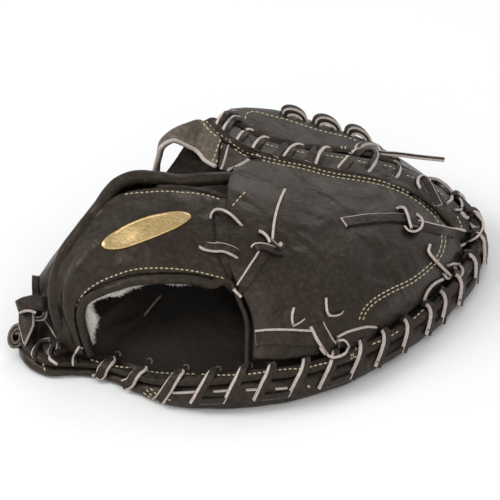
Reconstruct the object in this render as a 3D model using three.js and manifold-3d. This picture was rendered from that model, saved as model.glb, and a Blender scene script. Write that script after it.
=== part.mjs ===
// Catcher mitt lying on its rim with the pocket underneath and the back upwards.
// Units are millimetres, +X runs from thumb to little finger, +Y from heel to fingertips, +Z up.
import * as THREE from 'three';
import Module from 'manifold-3d';

const wasm = await Module();
wasm.setup();

// Leather and lace sizes
const panelThick = 2.6;
const beltThick = 4.0;
const laceWide = 6.0;
const laceThick = 1.8;
const seamGap = 0.35;
const rollRadius = 4.0;
const rimInset = 4.4;
const rimHalfWide = 3.8;
const rimHalfHigh = 3.4;
const panelInset = 9.0;

// Colours
const black = { color: 0x2b2826, roughness: 0.45, metalness: 0 };
const softBlack = { color: 0x33302d, roughness: 0.55, metalness: 0 };
const laceDark = { color: 0x3a3532, roughness: 0.6, metalness: 0 };
const pile = { color: 0xb5aea8, roughness: 0.95, metalness: 0 };
const gold = { color: 0xc9a874, roughness: 0.4, metalness: 0.3 };

const group = new THREE.Group();
group.name = 'catcher_mitt';

// The tables below are drawn about the palm; this puts the middle of the base at the origin.
group.position.set(-2.3, -6.9, 0);

const vec = (p) => new THREE.Vector3(p[0], p[1], p[2]);

// Smooth run through a short row of points, one step per control point share.
function through(points, count, closed = false) {
  const spots = points.map((p) => (p.isVector3 ? p : vec(p)));
  const curve = new THREE.CatmullRomCurve3(spots, closed, 'centripetal');
  const last = closed ? count : count - 1;
  return Array.from({ length: count }, (_, i) => curve.getPoint(i / last));
}

// Evenly spaced run through a short row of points.
function evenly(points, count, closed = false) {
  const spots = points.map((p) => (p.isVector3 ? p : vec(p)));
  const curve = new THREE.CatmullRomCurve3(spots, closed, 'centripetal');
  const last = closed ? count : count - 1;
  return Array.from({ length: count }, (_, i) => curve.getPointAt(i / last));
}

// Table of sections to a grid: each section is resampled, then the columns are run through them.
function weave(sections, along, across) {
  const rows = sections.map((s) => through(s, across));
  const grid = Array.from({ length: along }, () => []);
  for (let j = 0; j < across; j += 1) {
    const column = through(rows.map((r) => r[j]), along);
    column.forEach((p, i) => grid[i].push(p));
  }
  return grid;
}

// Surface directions of a grid, pointing to the side that `side` names.
function gridNormals(grid, side) {
  return grid.map((row, i) => row.map((p, j) => {
    const a = grid[Math.min(i + 1, grid.length - 1)][j].clone().sub(grid[Math.max(i - 1, 0)][j]);
    const b = row[Math.min(j + 1, row.length - 1)].clone().sub(row[Math.max(j - 1, 0)]);
    return a.cross(b).normalize().multiplyScalar(side);
  }));
}

function bodyFrom(positions, faces) {
  const geometry = new THREE.BufferGeometry();
  const numbers = positions.flatMap((p) => [p.x, p.y, p.z]);
  geometry.setAttribute('position', new THREE.Float32BufferAttribute(numbers, 3));
  geometry.setIndex(faces.flat());
  return geometry;
}

// Closed panel of one thickness under a grid of outer points.
function panel(grid, thick, side = 1) {
  const n = grid.length;
  const m = grid[0].length;
  const normals = gridNormals(grid, side);
  const outer = grid.flat();
  const inner = grid.flatMap((row, i) => row.map((p, j) => p.clone().addScaledVector(normals[i][j], -thick)));
  const at = (i, j) => i * m + j;
  const shift = n * m;
  const faces = [];
  const quad = (a, b, c, d) => {
    faces.push(side > 0 ? [a, b, c] : [a, c, b]);
    faces.push(side > 0 ? [a, c, d] : [a, d, c]);
  };
  for (let i = 0; i < n - 1; i += 1) {
    for (let j = 0; j < m - 1; j += 1) {
      quad(at(i, j), at(i + 1, j), at(i + 1, j + 1), at(i, j + 1));
      quad(shift + at(i, j), shift + at(i, j + 1), shift + at(i + 1, j + 1), shift + at(i + 1, j));
    }
  }
  for (let i = 0; i < n - 1; i += 1) {
    quad(at(i, 0), shift + at(i, 0), shift + at(i + 1, 0), at(i + 1, 0));
    quad(at(i, m - 1), at(i + 1, m - 1), shift + at(i + 1, m - 1), shift + at(i, m - 1));
  }
  for (let j = 0; j < m - 1; j += 1) {
    quad(at(0, j), at(0, j + 1), shift + at(0, j + 1), shift + at(0, j));
    quad(at(n - 1, j), shift + at(n - 1, j), shift + at(n - 1, j + 1), at(n - 1, j + 1));
  }
  return bodyFrom([...outer, ...inner], faces);
}

// Rounded or flat bar along a path; `shape` gives the section as side and up shares.
function bar(path, ups, halfWide, halfHigh, shape, closed = false) {
  const n = path.length;
  const k = shape.length;
  const points = [];
  path.forEach((p, i) => {
    const before = path[closed ? (i + n - 1) % n : Math.max(i - 1, 0)];
    const after = path[closed ? (i + 1) % n : Math.min(i + 1, n - 1)];
    const run = after.clone().sub(before).normalize();
    const side = run.clone().cross(ups[i]).normalize();
    const up = side.clone().cross(run).normalize();
    const w = typeof halfWide === 'function' ? halfWide(i / (n - 1)) : halfWide;
    const h = typeof halfHigh === 'function' ? halfHigh(i / (n - 1)) : halfHigh;
    shape.forEach(([s, t]) => {
      points.push(p.clone().addScaledVector(side, s * w).addScaledVector(up, t * h));
    });
  });
  const faces = [];
  const steps = closed ? n : n - 1;
  for (let i = 0; i < steps; i += 1) {
    const a = i * k;
    const b = ((i + 1) % n) * k;
    for (let j = 0; j < k; j += 1) {
      const j2 = (j + 1) % k;
      faces.push([a + j, b + j, b + j2]);
      faces.push([a + j, b + j2, a + j2]);
    }
  }
  if (!closed) {
    for (let j = 1; j < k - 1; j += 1) {
      faces.push([0, j, j + 1]);
      faces.push([(n - 1) * k, (n - 1) * k + j + 1, (n - 1) * k + j]);
    }
  }
  return bodyFrom(points, faces);
}

const roundShape = (k) => Array.from({ length: k }, (_, i) => {
  const a = (i / k) * Math.PI * 2;
  return [Math.cos(a), Math.sin(a)];
});
const flatShape = [[1, -1], [1, 1], [-1, 1], [-1, -1]];

function toSolid(geometry) {
  return new wasm.Manifold(new wasm.Mesh({
    numProp: 3,
    vertProperties: new Float32Array(geometry.getAttribute('position').array),
    triVerts: new Uint32Array(geometry.getIndex().array),
  }));
}

function fromSolid(solid) {
  const mesh = solid.getMesh();
  const geometry = new THREE.BufferGeometry();
  geometry.setAttribute('position', new THREE.Float32BufferAttribute(Array.from(mesh.vertProperties), 3));
  geometry.setIndex(Array.from(mesh.triVerts));
  return geometry;
}

function place(name, geometry, look) {
  geometry.computeVertexNormals();
  const mesh = new THREE.Mesh(geometry, new THREE.MeshStandardMaterial(look));
  mesh.name = name;
  group.add(mesh);
  return mesh;
}

// Outline of the rim on the ground: x, y and the height of the padded edge there.
const rimTable = [
  { x: -64, y: -143, h: 8 },
  { x: -50, y: -134, h: 6 },
  { x: -35, y: -128, h: 6 },
  { x: -15, y: -130, h: 8 },
  { x: 8, y: -135, h: 12 },
  { x: 27, y: -134, h: 16 },
  { x: 47, y: -125, h: 18 },
  { x: 67, y: -111, h: 20 },
  { x: 85, y: -92, h: 18 },
  { x: 98, y: -71, h: 17 },
  { x: 105, y: -56, h: 16 },
  { x: 111, y: -36, h: 15 },
  { x: 116, y: -13, h: 14 },
  { x: 119, y: 13, h: 13 },
  { x: 119.5, y: 40, h: 12 },
  { x: 117, y: 69, h: 13 },
  { x: 112, y: 93, h: 15 },
  { x: 104, y: 113, h: 18 },
  { x: 92, y: 125, h: 20 },
  { x: 77, y: 135, h: 20 },
  { x: 60, y: 141, h: 20 },
  { x: 42, y: 146, h: 20 },
  { x: 18, y: 152, h: 19 },
  { x: -8, y: 152, h: 18 },
  { x: -36, y: 141, h: 17 },
  { x: -62, y: 117, h: 16 },
  { x: -81, y: 94, h: 15 },
  { x: -97, y: 70, h: 15 },
  { x: -109, y: 44, h: 15 },
  { x: -115, y: 16, h: 16 },
  { x: -114, y: -16, h: 16 },
  { x: -109, y: -50, h: 16 },
  { x: -104, y: -88, h: 15 },
  { x: -97, y: -118, h: 13 },
  { x: -84, y: -137, h: 10 },
];
const rimCurve = new THREE.CatmullRomCurve3(rimTable.map((r) => vec([r.x, r.y, r.h])), true, 'centripetal');

// Point of the rim: share of the way round, distance inwards from the outline, height.
function rimPoint(share, inset, lift, fromTop = true) {
  const s = ((share % 1) + 1) % 1;
  const p = rimCurve.getPointAt(s);
  const run = rimCurve.getTangentAt(s);
  const inward = new THREE.Vector3(-run.y, run.x, 0).normalize();
  const z = fromTop ? p.z + lift : lift;
  return new THREE.Vector3(p.x + inward.x * inset, p.y + inward.y * inset, z);
}

// Rings of the padded palm: distance in from the outline (edge) or share of the way to the centre.
const palmCentre = vec([4, -4, 0]);
const palmUnder = [
  { share: 0.00, z: 37 },
  { share: 0.30, z: 35 },
  { share: 0.52, z: 29 },
  { share: 0.70, z: 19 },
  { share: 0.84, z: 6.5 },
  { share: 0.91, z: 0.6 },
  { share: 0.95, z: 0.0 },
];
const palmEdge = [
  { inset: 3.0, rise: 0.09 },
  { inset: 0.8, rise: 0.30 },
  { inset: 0.0, rise: 0.55 },
  { inset: 1.2, rise: 0.82 },
  { inset: 4.0, rise: 0.97 },
  { inset: 9.0, rise: 1.00 },
];
const palmUpper = [
  { share: 0.86, z: 20 },
  { share: 0.74, z: 32 },
  { share: 0.56, z: 43 },
  { share: 0.34, z: 51 },
  { share: 0.00, z: 54 },
];
const palmSteps = 38;

function palmBody() {
  const points = [];
  const rings = [];
  const ring = (make) => {
    const row = [];
    for (let i = 0; i < palmSteps; i += 1) {
      row.push(points.length);
      points.push(make(i / palmSteps));
    }
    rings.push(row);
  };
  const inside = (t, share, z) => {
    const edge = rimPoint(t, 0, 0, false);
    const p = palmCentre.clone().lerp(edge, share);
    p.z = z;
    return p;
  };
  points.push(vec([palmCentre.x, palmCentre.y, palmUnder[0].z]));
  palmUnder.slice(1).forEach((r) => ring((t) => inside(t, r.share, r.z)));
  palmEdge.forEach((r) => ring((t) => {
    const high = rimPoint(t, 0, 0).z;
    return rimPoint(t, r.inset, high * r.rise, false);
  }));
  palmUpper.slice(0, -1).forEach((r) => ring((t) => inside(t, r.share, r.z)));
  const top = points.length;
  points.push(vec([palmCentre.x, palmCentre.y, palmUpper[palmUpper.length - 1].z]));
  const faces = [];
  for (let i = 0; i < palmSteps; i += 1) {
    const j = (i + 1) % palmSteps;
    faces.push([0, rings[0][j], rings[0][i]]);
    for (let r = 0; r < rings.length - 1; r += 1) {
      faces.push([rings[r][i], rings[r][j], rings[r + 1][j]]);
      faces.push([rings[r][i], rings[r + 1][j], rings[r + 1][i]]);
    }
    faces.push([rings[rings.length - 1][i], rings[rings.length - 1][j], top]);
  }
  return bodyFrom(points, faces);
}
place('palm_pad', palmBody(), black);

// Rolled leather edge on top of the rim, closed all the way round.
const rimSteps = 68;
const rimHalf = (i) => Math.min(rimHalfHigh, 1.4 + rimPoint(i / rimSteps, 0, 0).z * 0.12);
const rimPath = Array.from({ length: rimSteps }, (_, i) => (
  rimPoint(i / rimSteps, rimInset, rimHalf(i) + seamGap + 0.3)
));
place('rim_binding', bar(
  rimPath,
  rimPath.map(() => vec([0, 0, 1])),
  rimHalfWide,
  (t) => rimHalf(t * (rimSteps - 1)),
  roundShape(6),
  true,
), softBlack);

// Moves a point inwards from the outline when it is closer to it than `inset`.
const rimSamples = Array.from({ length: 480 }, (_, i) => i / 480);
function keepInside(point, inset) {
  let best = 0;
  let least = Infinity;
  rimSamples.forEach((t) => {
    const q = rimPoint(t, 0, 0, false);
    const gap = Math.hypot(q.x - point[0], q.y - point[1]);
    if (gap < least) {
      least = gap;
      best = t;
    }
  });
  if (least >= inset) return point;
  const q = rimPoint(best, inset, 0, false);
  return [q.x, q.y, point[2]];
}

// Back panel over the fingers: rows from the rim up to the laced strip.
const fingerBack = [
  { low: [60, -101, 30], a: [52, -88, 52], b: [32, -79, 75], c: [17, -60, 93], high: [3, -32, 103] },
  { low: [67, -96, 29], a: [60, -81, 53], b: [44, -68, 76], c: [27, -46, 92], high: [-1, -10, 102] },
  { low: [76, -86, 27], a: [69, -68, 54], b: [55, -48, 76], c: [37, -24, 89], high: [6, 14, 94.5] },
  { low: [88, -70, 25], a: [80, -53, 53], b: [66, -29, 72], c: [48, -5, 83], high: [20, 30, 87] },
  { low: [98, -52, 23.5], a: [91, -37, 48], b: [78, -13, 66], c: [61, 11, 76], high: [35, 41, 80] },
  { low: [106, -30, 22], a: [101, -18, 42], b: [88, 5, 58], c: [74, 31, 67], high: [49, 56, 72] },
  { low: [111, -4, 21], a: [107, 7, 38], b: [98, 27, 51], c: [84, 50, 57], high: [61, 72, 63] },
  { low: [112, 26, 20], a: [109, 35, 34], b: [102, 51, 44], c: [90, 69, 47], high: [71, 83, 52] },
  { low: [111, 57, 19.5], a: [107, 64, 29], b: [101, 74, 35], c: [92, 83, 38], high: [82, 89, 40] },
  { low: [105, 88, 20], a: [102, 89, 24], b: [98, 91, 28], c: [93, 92, 30], high: [89, 92, 31] },
];
const fingerSections = fingerBack.map((r) => [keepInside(r.low, panelInset), r.a, r.b, r.c, r.high]);
const fingerGrid = weave(fingerSections, 20, 9);
place('finger_back', panel(fingerGrid, panelThick), black);

// Strip between the seam of that panel and its laced upper edge.
const stripTable = [
  { seam: [-45, 19, 107], top: [-41, 25, 108] },
  { seam: [-34, 15, 105.5], top: [-31, 30, 104] },
  { seam: [-24, 13.5, 103.5], top: [-19, 31, 100] },
  { seam: [-13, 13, 100.5], top: [-8, 33, 97] },
  { seam: [-1, 16, 96.5], top: [3, 41, 92] },
  { seam: [10, 24, 92], top: [14, 49, 88] },
  { seam: [21, 32, 87.5], top: [25, 64, 81.5] },
  { seam: [36, 43, 80.5], top: [35, 77, 74.5] },
  { seam: [49, 58, 72.5], top: [46.5, 93, 65.5] },
  { seam: [61.5, 74, 63.5], top: [57.5, 106, 54.5] },
  { seam: [72, 86, 53], top: [69, 116, 42.5] },
  { seam: [82, 92, 42], top: [80, 119, 32.5] },
  { seam: [91, 94, 32], top: [92, 113, 27.5] },
  { seam: [98, 93, 28], top: [100, 103, 25] },
];
const stripGrid = weave(stripTable.map((r) => [r.seam, keepInside(r.top, panelInset)]), 27, 3);
place('top_strip', panel(stripGrid, panelThick), softBlack);

// Web and upper panel: rows from the laced edge over the ridge down to the far rim.
const webPanel = [
  { near: [-38, 34, 106.5], ridge: [-40, 44, 104], mid: [-62, 66, 58], low: [-86, 76, 20] },
  { near: [-28, 37, 103], ridge: [-34, 58, 99.5], mid: [-56, 82, 60], low: [-74, 92, 20] },
  { near: [-10, 41, 95.5], ridge: [-22, 76, 90.5], mid: [-42, 106, 55], low: [-53, 116, 20] },
  { near: [7, 54, 88.5], ridge: [-7, 88, 82], mid: [-22, 120, 47], low: [-32, 132, 20] },
  { near: [19, 70, 81], ridge: [6, 103, 71], mid: [-3, 132, 38], low: [-8, 142, 22] },
  { near: [28, 84, 74], ridge: [20, 118, 58], mid: [12, 136, 36], low: [10, 143, 24] },
  { near: [41, 100, 63], ridge: [34, 129, 45], mid: [30, 136, 34], low: [28, 140, 26] },
  { near: [58, 118, 45], ridge: [54, 132, 34], mid: [53, 134, 30], low: [52, 135, 27] },
];
const webGrid = weave(webPanel.map((r) => [r.near, r.ridge, r.mid, keepInside(r.low, 12.5)]), 15, 8);
place('web_panel', panel(webGrid, panelThick), black);

// Back panel of the thumb half: rows from under the padded roll down to the far rim.
const thumbBack = [
  { high: [-70, -119, 40], a: [-76, -120, 36], b: [-84, -120, 31], low: [-90, -120, 23] },
  { high: [-72, -106, 62], a: [-84, -106, 50], b: [-93, -106, 38], low: [-96, -105, 23] },
  { high: [-67, -78, 84], a: [-84, -74, 64], b: [-96, -70, 44], low: [-101, -68, 23] },
  { high: [-60, -50, 94], a: [-84, -38, 70], b: [-100, -30, 44], low: [-106, -26, 22] },
  { high: [-52, -28, 88], a: [-78, -8, 64], b: [-99, 4, 40], low: [-106, 8, 21] },
  { high: [-49, -8, 80], a: [-73, 14, 57], b: [-94, 28, 38], low: [-103, 36, 20] },
  { high: [-50, 10, 70], a: [-68, 28, 52], b: [-86, 44, 36], low: [-97, 56, 20] },
];
const thumbGrid = weave(thumbBack.map((r) => [r.high, r.a, r.b, keepInside(r.low, panelInset)]), 14, 7);
place('thumb_back', panel(thumbGrid, panelThick), black);

// Strap over the back of the hand: rows from the hand opening to the finger slit.
const beltTable = [
  { lip: [-43, -129, 27], mid: [-48, -130, 27], far: [-53, -129, 27] },
  { lip: [-47, -129, 42], mid: [-55, -131, 42], far: [-60, -128, 41] },
  { lip: [-47, -127, 54], mid: [-57, -129, 57], far: [-63, -125, 57] },
  { lip: [-38, -124, 64], mid: [-53, -124, 74], far: [-62, -116, 73] },
  { lip: [-28, -119, 70], mid: [-46, -109, 87], far: [-57, -97, 88] },
  { lip: [-17, -114, 75], mid: [-35, -96, 92], far: [-50, -75, 98] },
  { lip: [-2, -108, 78], mid: [-17, -84, 96], far: [-35, -59, 102] },
  { lip: [16, -96, 76], mid: [4, -74, 94], far: [-13, -48, 103] },
  { lip: [31, -86, 69], mid: [21, -68, 87], far: [4.6, -41, 100] },
];
const beltGrid = weave(beltTable.map((r) => [r.lip, r.mid, r.far]), 20, 7);
place('belt', panel(beltGrid, beltThick), black);

// Piped edge of the hand opening, along the strap and down the side of the finger panel.
const pipeRadius = 2.8;
function edgeRun(grid, thick, side, pick) {
  const normals = gridNormals(grid, side);
  return pick.map(([i, j, i2, j2]) => {
    const out = grid[i][j].clone().sub(grid[i2][j2]).normalize();
    return grid[i][j].clone()
      .addScaledVector(out, pipeRadius + seamGap + 0.8)
      .addScaledVector(normals[i][j], -thick / 2);
  });
}
const strapEdge = edgeRun(beltGrid, beltThick, 1, beltGrid.map((_, i) => [i, 0, i, 1]).slice(1, -1));
const sideEdge = edgeRun(fingerGrid, panelThick, 1, [3, 2, 1, 0].map((j) => [0, j, 1, j]));
const pipePath = evenly([...strapEdge, ...sideEdge], 26);
place('mouth_binding', bar(
  pipePath,
  pipePath.map(() => vec([0, 1, 0.25])),
  pipeRadius,
  pipeRadius,
  roundShape(6),
), softBlack);

// Padded roll beyond the strap, from the heel corner to the crotch.
const rollPath = evenly([
  [-59.6, -126.4, 23.0], [-60.9, -127.2, 29], [-63.6, -127.9, 38], [-68.4, -123.8, 50], [-69.8, -117, 62],
  [-68.7, -109.6, 73], [-64.2, -96.2, 84], [-61.1, -80.5, 93], [-58.5, -63.8, 100.5], [-51.3, -55.2, 103.5],
  [-39.1, -47.7, 103], [-24.9, -42.7, 102.5], [-14, -34.2, 102], [-5.4, -24.4, 100.6],
], 26);
const rollUps = rollPath.map(() => vec([0.4, -0.8, 0.4]));
place('belt_roll', bar(rollPath, rollUps, rollRadius, rollRadius, roundShape(8)), softBlack);

// Free-standing leather loop over the crotch: outer and inner edges of the band.
const bandTable = [
  { outer: [-62, -10, 80], inner: [-58, -20, 84] },
  { outer: [-60, -12, 96], inner: [-54, -21, 99] },
  { outer: [-57, -13, 107], inner: [-51, -21, 108] },
  { outer: [-52, -7, 113], inner: [-46, -15, 110.5] },
  { outer: [-48, 4, 113], inner: [-40, -10, 106] },
  { outer: [-44, 15, 111], inner: [-34, -7, 102] },
  { outer: [-36, 11, 110], inner: [-26, -11, 100] },
  { outer: [-26, 9, 107], inner: [-17, -13, 99.3] },
];
const bandGrid = weave(bandTable.map((r) => [r.outer, r.inner]), 14, 4);
place('crotch_band', panel(bandGrid, 3, -1), softBlack);

// Sewn triangle beside the band and the dark fold under it.
const tabGrid = weave([
  [[-25.4, 9, 103.7], [-16.4, -12.6, 98.6]],
  [[-14, 9, 100.5], [-9.5, -14, 100]],
  [[-5, 10, 98], [-4.5, 4, 99.5]],
], 7, 3);
place('crotch_tab', panel(tabGrid, 2.2, -1), softBlack);
const gussetGrid = weave([
  [[-47, 0, 99], [-48.7, -10, 92.2], [-50.2, -20, 87.2]],
  [[-36, 3, 97], [-36, -8, 90], [-36, -20, 85]],
  [[-24, 6, 97], [-21, -3, 92], [-17, -14, 88]],
], 6, 5);
place('crotch_gusset', panel(gussetGrid, 2.2, -1), black);

// Pale pile under the strap, from the hand opening inwards.
const beltNormals = gridNormals(beltGrid, 1);
const pileGrid = beltGrid.slice(3, -1).map((row, i) => row.slice(1, 5).map((p, j) => (
  p.clone().addScaledVector(beltNormals[i + 3][j + 1], -(beltThick + seamGap))
)));
place('fleece_lining', panel(pileGrid, 4.0), pile);

// Nearest leather surface below a point, so laces and plates lie on it at a set lift.
const leather = [fingerGrid, beltGrid, stripGrid, webGrid].flatMap((grid) => {
  const normals = gridNormals(grid, 1);
  return grid.flatMap((row, i) => row.map((p, j) => ({ p, n: normals[i][j] })));
});
function onLeather(point, lift) {
  const q = vec(point);
  const near = leather
    .map((s) => ({ s, d: s.p.distanceToSquared(q) }))
    .sort((a, b) => a.d - b.d)
    .slice(0, 4);
  const n = new THREE.Vector3();
  let height = 0;
  let total = 0;
  near.forEach(({ s, d }) => {
    const w = 1 / (d + 1);
    n.addScaledVector(s.n, w);
    height += w * q.clone().sub(s.p).dot(s.n);
    total += w;
  });
  n.normalize();
  return { at: q.addScaledVector(n, lift - height / total), n };
}

// Plain plate on the strap.
const plateEnds = { from: [-43, -111, 88], to: [-3, -72, 101], halfWide: 8.5, thick: 1.2, lift: 1.7 };
const plateRun = vec(plateEnds.to).sub(vec(plateEnds.from));
const plateSide = new THREE.Vector3(0.5, -0.72, -0.48);
const plateGrid = Array.from({ length: 13 }, (_, i) => {
  const t = i / 12;
  const w = plateEnds.halfWide * Math.sqrt(1 - (0.985 * (2 * t - 1)) ** 2);
  return [-1, -0.5, 0, 0.5, 1].map((k) => onLeather(
    vec(plateEnds.from).addScaledVector(plateRun, t).addScaledVector(plateSide, k * w).toArray(),
    plateEnds.lift,
  ).at);
});
place('badge', panel(plateGrid, plateEnds.thick, -1), gold);

// Flat thong through points on the leather; each point has its own lift.
function thong(points, options = {}) {
  const spots = points.map((p) => onLeather(p.slice(0, 3), (p[3] ?? 0) + laceThick / 2 + 0.6));
  const count = options.count ?? Math.round((points.length - 1) * 1.5) + 1;
  const path = through(spots.map((s) => s.at), count);
  const ups = through(spots.map((s) => s.n), count).map((n) => n.normalize());
  if (options.stand) {
    const run = path[count - 1].clone().sub(path[0]);
    ups.forEach((n) => n.cross(run).normalize());
    path.forEach((p, i) => p.addScaledVector(through(spots.map((s) => s.n), count)[i], laceWide / 2 - 0.5));
  }
  return toSolid(bar(path, ups, (options.wide ?? laceWide) / 2, laceThick / 2, flatShape));
}

function joined(solids) {
  return fromSolid(solids.reduce((a, b) => a.add(b)));
}

// Ties on the back: every row is a run of the lace as x, y, z and extra lift.
const ties = {
  tie_strap: [
    {
      run: [
        [12.6, -63, 97.5, 0.8], [9.6, -60, 99.5, 2.8], [14, -55.5, 99, 3.6], [19.5, -53, 96, 2.6],
        [25, -56.5, 93.4, 0],
      ],
    },
    {
      run: [
        [13.6, -59.5, 98, 0.9], [18.6, -68.3, 94.1, 1.0], [22.5, -73.8, 89.4, 0.6], [26.4, -78, 84.2, 0.6],
        [31.4, -81.8, 77.5, 0.4], [36, -85.5, 70.5, 3.5],
      ],
      wide: 7.5,
    },
    { run: [[16.7, -83.5, 87.8, 0.6], [24.5, -76, 86.8, 2.6], [30.7, -69.3, 85.2, 0.6]], wide: 8 },
  ],
  tie_back: [
    {
      run: [
        [45, -56, 82.5, 0.2], [44.9, -71.6, 76.3, 0.2], [43.4, -80.1, 70.8, 0.4], [41.6, -87.5, 66.5, 3],
      ],
      wide: 7,
    },
    {
      run: [
        [45, -53, 84.5, 0.4], [39.8, -40.4, 89.2, 0], [34.5, -25, 92.4, 0], [29.1, -8.1, 93.3, 0.2],
      ],
      stand: true,
    },
    { run: [[38.8, -61.5, 84.8, 0.6], [44.9, -55.3, 83.5, 2.8], [50.8, -47.8, 82.2, 0.6]], wide: 8 },
    { run: [[44.5, -52.5, 85, 0.8], [36.7, -50.5, 89, 0.3]], wide: 4 },
  ],
  tie_low: [
    { run: [[58.8, -94.5, 42.8, 0.6], [72.7, -82.4, 40.9, 0.4], [88.5, -64, 38.2, 0.4]], wide: 10 },
    {
      run: [
        [82, -69, 43.5, 0.4], [88.5, -64.5, 37, 2.8], [92, -61, 33.5, 2.8], [95.5, -54, 34, 1.8],
      ],
      wide: 8,
    },
    {
      run: [
        [90, -59, 37, 1.2], [97, -49.5, 34.5, 0.8], [102, -35, 33, 0.8], [106, -21, 32, 1.2],
      ],
      wide: 7.5,
    },
  ],
  tie_tip: [
    {
      run: [
        [103, 93, 27.5, 2.2], [100.5, 86, 32, 0.6], [99.2, 79.1, 37, 0.5], [93.2, 54.7, 53, 0.7],
        [89, 50.5, 57, 0.6],
      ],
      wide: 5,
    },
    { run: [[80.4, 49.5, 62, 0.6], [88, 52.5, 57.5, 3], [93.4, 47, 54, 0.8]], wide: 8 },
    {
      run: [
        [86, 49, 59, 0.6], [81.1, 45.9, 62.7, 0.6], [74.6, 22.3, 70.6, 0.2], [66.3, 2, 76.7, 0.4],
      ],
      wide: 6.6,
    },
  ],
  tie_side: [
    { run: [[104.5, 41, 46.5, 0.6], [109, 46.5, 36.7, 0.4], [111.3, 55.1, 26.5, 1.4]], wide: 4 },
    { run: [[110.5, 49, 31, 1.4], [110.5, 55, 30, 3], [109, 61, 29.5, 1.8]], wide: 7 },
    {
      run: [
        [111.5, 50, 28, 1.4], [112, 42.7, 27, 0.6], [112, 31, 29.3, 0.9], [112, 22, 27.8, 0.9],
      ],
      wide: 4.5,
    },
  ],
  tie_upper: [
    {
      run: [
        [66, 105.5, 52, 0.4], [71, 101.5, 50.5, 2.2], [75, 98.8, 48.6, 0.6], [81.8, 94.6, 44.5, 0.6],
      ],
      wide: 7,
    },
    { run: [[72, 106, 48.5, 0.2], [78, 110, 42, 3.2], [83.5, 104.5, 39, 0.2]], wide: 4.5 },
    { run: [[70, 104, 50, 0.4], [73.5, 106, 47.5, 0.6]], wide: 4.5 },
  ],
  pass_left: [{ run: [[71.5, -74, 51, -0.5], [76.1, -71.6, 47, -0.4], [79.5, -66, 49.2, -0.5]], wide: 4 }],
  pass_right: [{ run: [[83.2, -51, 54.6, 0.4], [87.6, -51.6, 48, 0.2], [91.6, -43.6, 48.2, 0]], wide: 4 }],
};
Object.entries(ties).forEach(([name, runs]) => {
  place(name, joined(runs.map((r) => thong(r.run, r))), laceDark);
});
// Lacing over the rim: each row is one staple of two arms joined by a run low on the outside.
const rimStaples = [
  { up: [0.0375, 0.0480], low: [0.0345, 0.0440], out: 0.9 },
  { up: [0.0660, 0.0775], low: [0.0610, 0.0710] },
  { up: [0.1020, 0.1140], low: [0.0930, 0.1070] },
  { up: [0.1340, 0.1570], low: [0.1240, 0.1470] },
  { up: [0.1795, 0.2080], low: [0.1685, 0.1935] },
  { up: [0.2330, 0.2600], low: [0.2175, 0.2430] },
  { up: [0.2830, 0.3065], low: [0.2680, 0.2955] },
  { up: [0.3340, 0.3570], low: [0.3250, 0.3445] },
  { up: [0.3805, 0.4050], low: [0.3715, 0.4020] },
  { up: [0.4300, 0.4560], low: [0.4270, 0.4540] },
  { up: [0.4820, 0.5060], low: [0.4830, 0.5090] },
  { up: [0.5340, 0.5600], low: [0.5370, 0.5630] },
  { up: [0.5880, 0.6160], low: [0.5910, 0.6190] },
  { up: [0.6440, 0.6720], low: [0.6470, 0.6750] },
  { up: [0.7000, 0.7280], low: [0.7030, 0.7310] },
  { up: [0.7560, 0.7840], low: [0.7590, 0.7870] },
  { up: [0.8120, 0.8400], low: [0.8150, 0.8430] },
  { up: [0.8680, 0.8960], low: [0.8710, 0.8990] },
];
const armTable = [
  { t: 0.00, inset: 6.8, over: 4.3 },
  { t: 0.20, inset: 5.8, over: 2.9 },
  { t: 0.40, inset: 2.8, over: 1.9 },
  { t: 0.58, inset: -0.5, over: -1.2 },
  { t: 0.74, inset: -1.7, over: -6.0 },
  { t: 1.00, inset: -3.1, over: -12.0 },
];
const armWide = 5.6;

function rimArm(up, low, out = 0) {
  const spots = armTable.map((r) => {
    const share = up + (low - up) * r.t;
    const high = rimPoint(share, 0, 0).z;
    const top = high + seamGap + 0.3 + 2 * rimHalf(share * rimSteps);
    const z = r.t < 1 ? Math.max(top + r.over, high * 0.42 + 2) : Math.max(high * 0.42, 4.2);
    return { at: rimPoint(share, r.inset - (r.t > 0.3 ? out : 0), z, false), share };
  });
  const ups = spots.map((s, i) => {
    const run = spots[Math.min(i + 1, spots.length - 1)].at.clone().sub(spots[Math.max(i - 1, 0)].at);
    const along = rimCurve.getTangentAt(s.share);
    const n = run.clone().cross(along).normalize();
    return n.z < 0 || (i > 3 && n.dot(vec([along.y, -along.x, 0])) < 0) ? n.negate() : n;
  });
  return toSolid(bar(spots.map((s) => s.at), ups, armWide / 2, laceThick / 2, flatShape));
}

function lowRun(from, to) {
  const steps = 4;
  const spots = Array.from({ length: steps }, (_, i) => {
    const share = from + (to - from) * (i / (steps - 1));
    const high = rimPoint(share, 0, 0).z;
    return { at: rimPoint(share, -3.5, Math.max(high * 0.42, 4.2) + 2.2, false), share };
  });
  const ups = spots.map((s) => {
    const along = rimCurve.getTangentAt(s.share);
    return new THREE.Vector3(along.y, -along.x, 0).normalize();
  });
  return toSolid(bar(spots.map((s) => s.at), ups, 2.4, laceThick / 2, flatShape));
}

rimStaples.forEach((r, i) => {
  const name = `rim_lace_${String(i + 1).padStart(2, '0')}`;
  place(name, joined([
    rimArm(r.up[0], r.low[0], r.out),
    rimArm(r.up[1], r.low[1], r.out),
    lowRun(r.low[0], r.low[1]),
  ]), laceDark);
});

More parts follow.
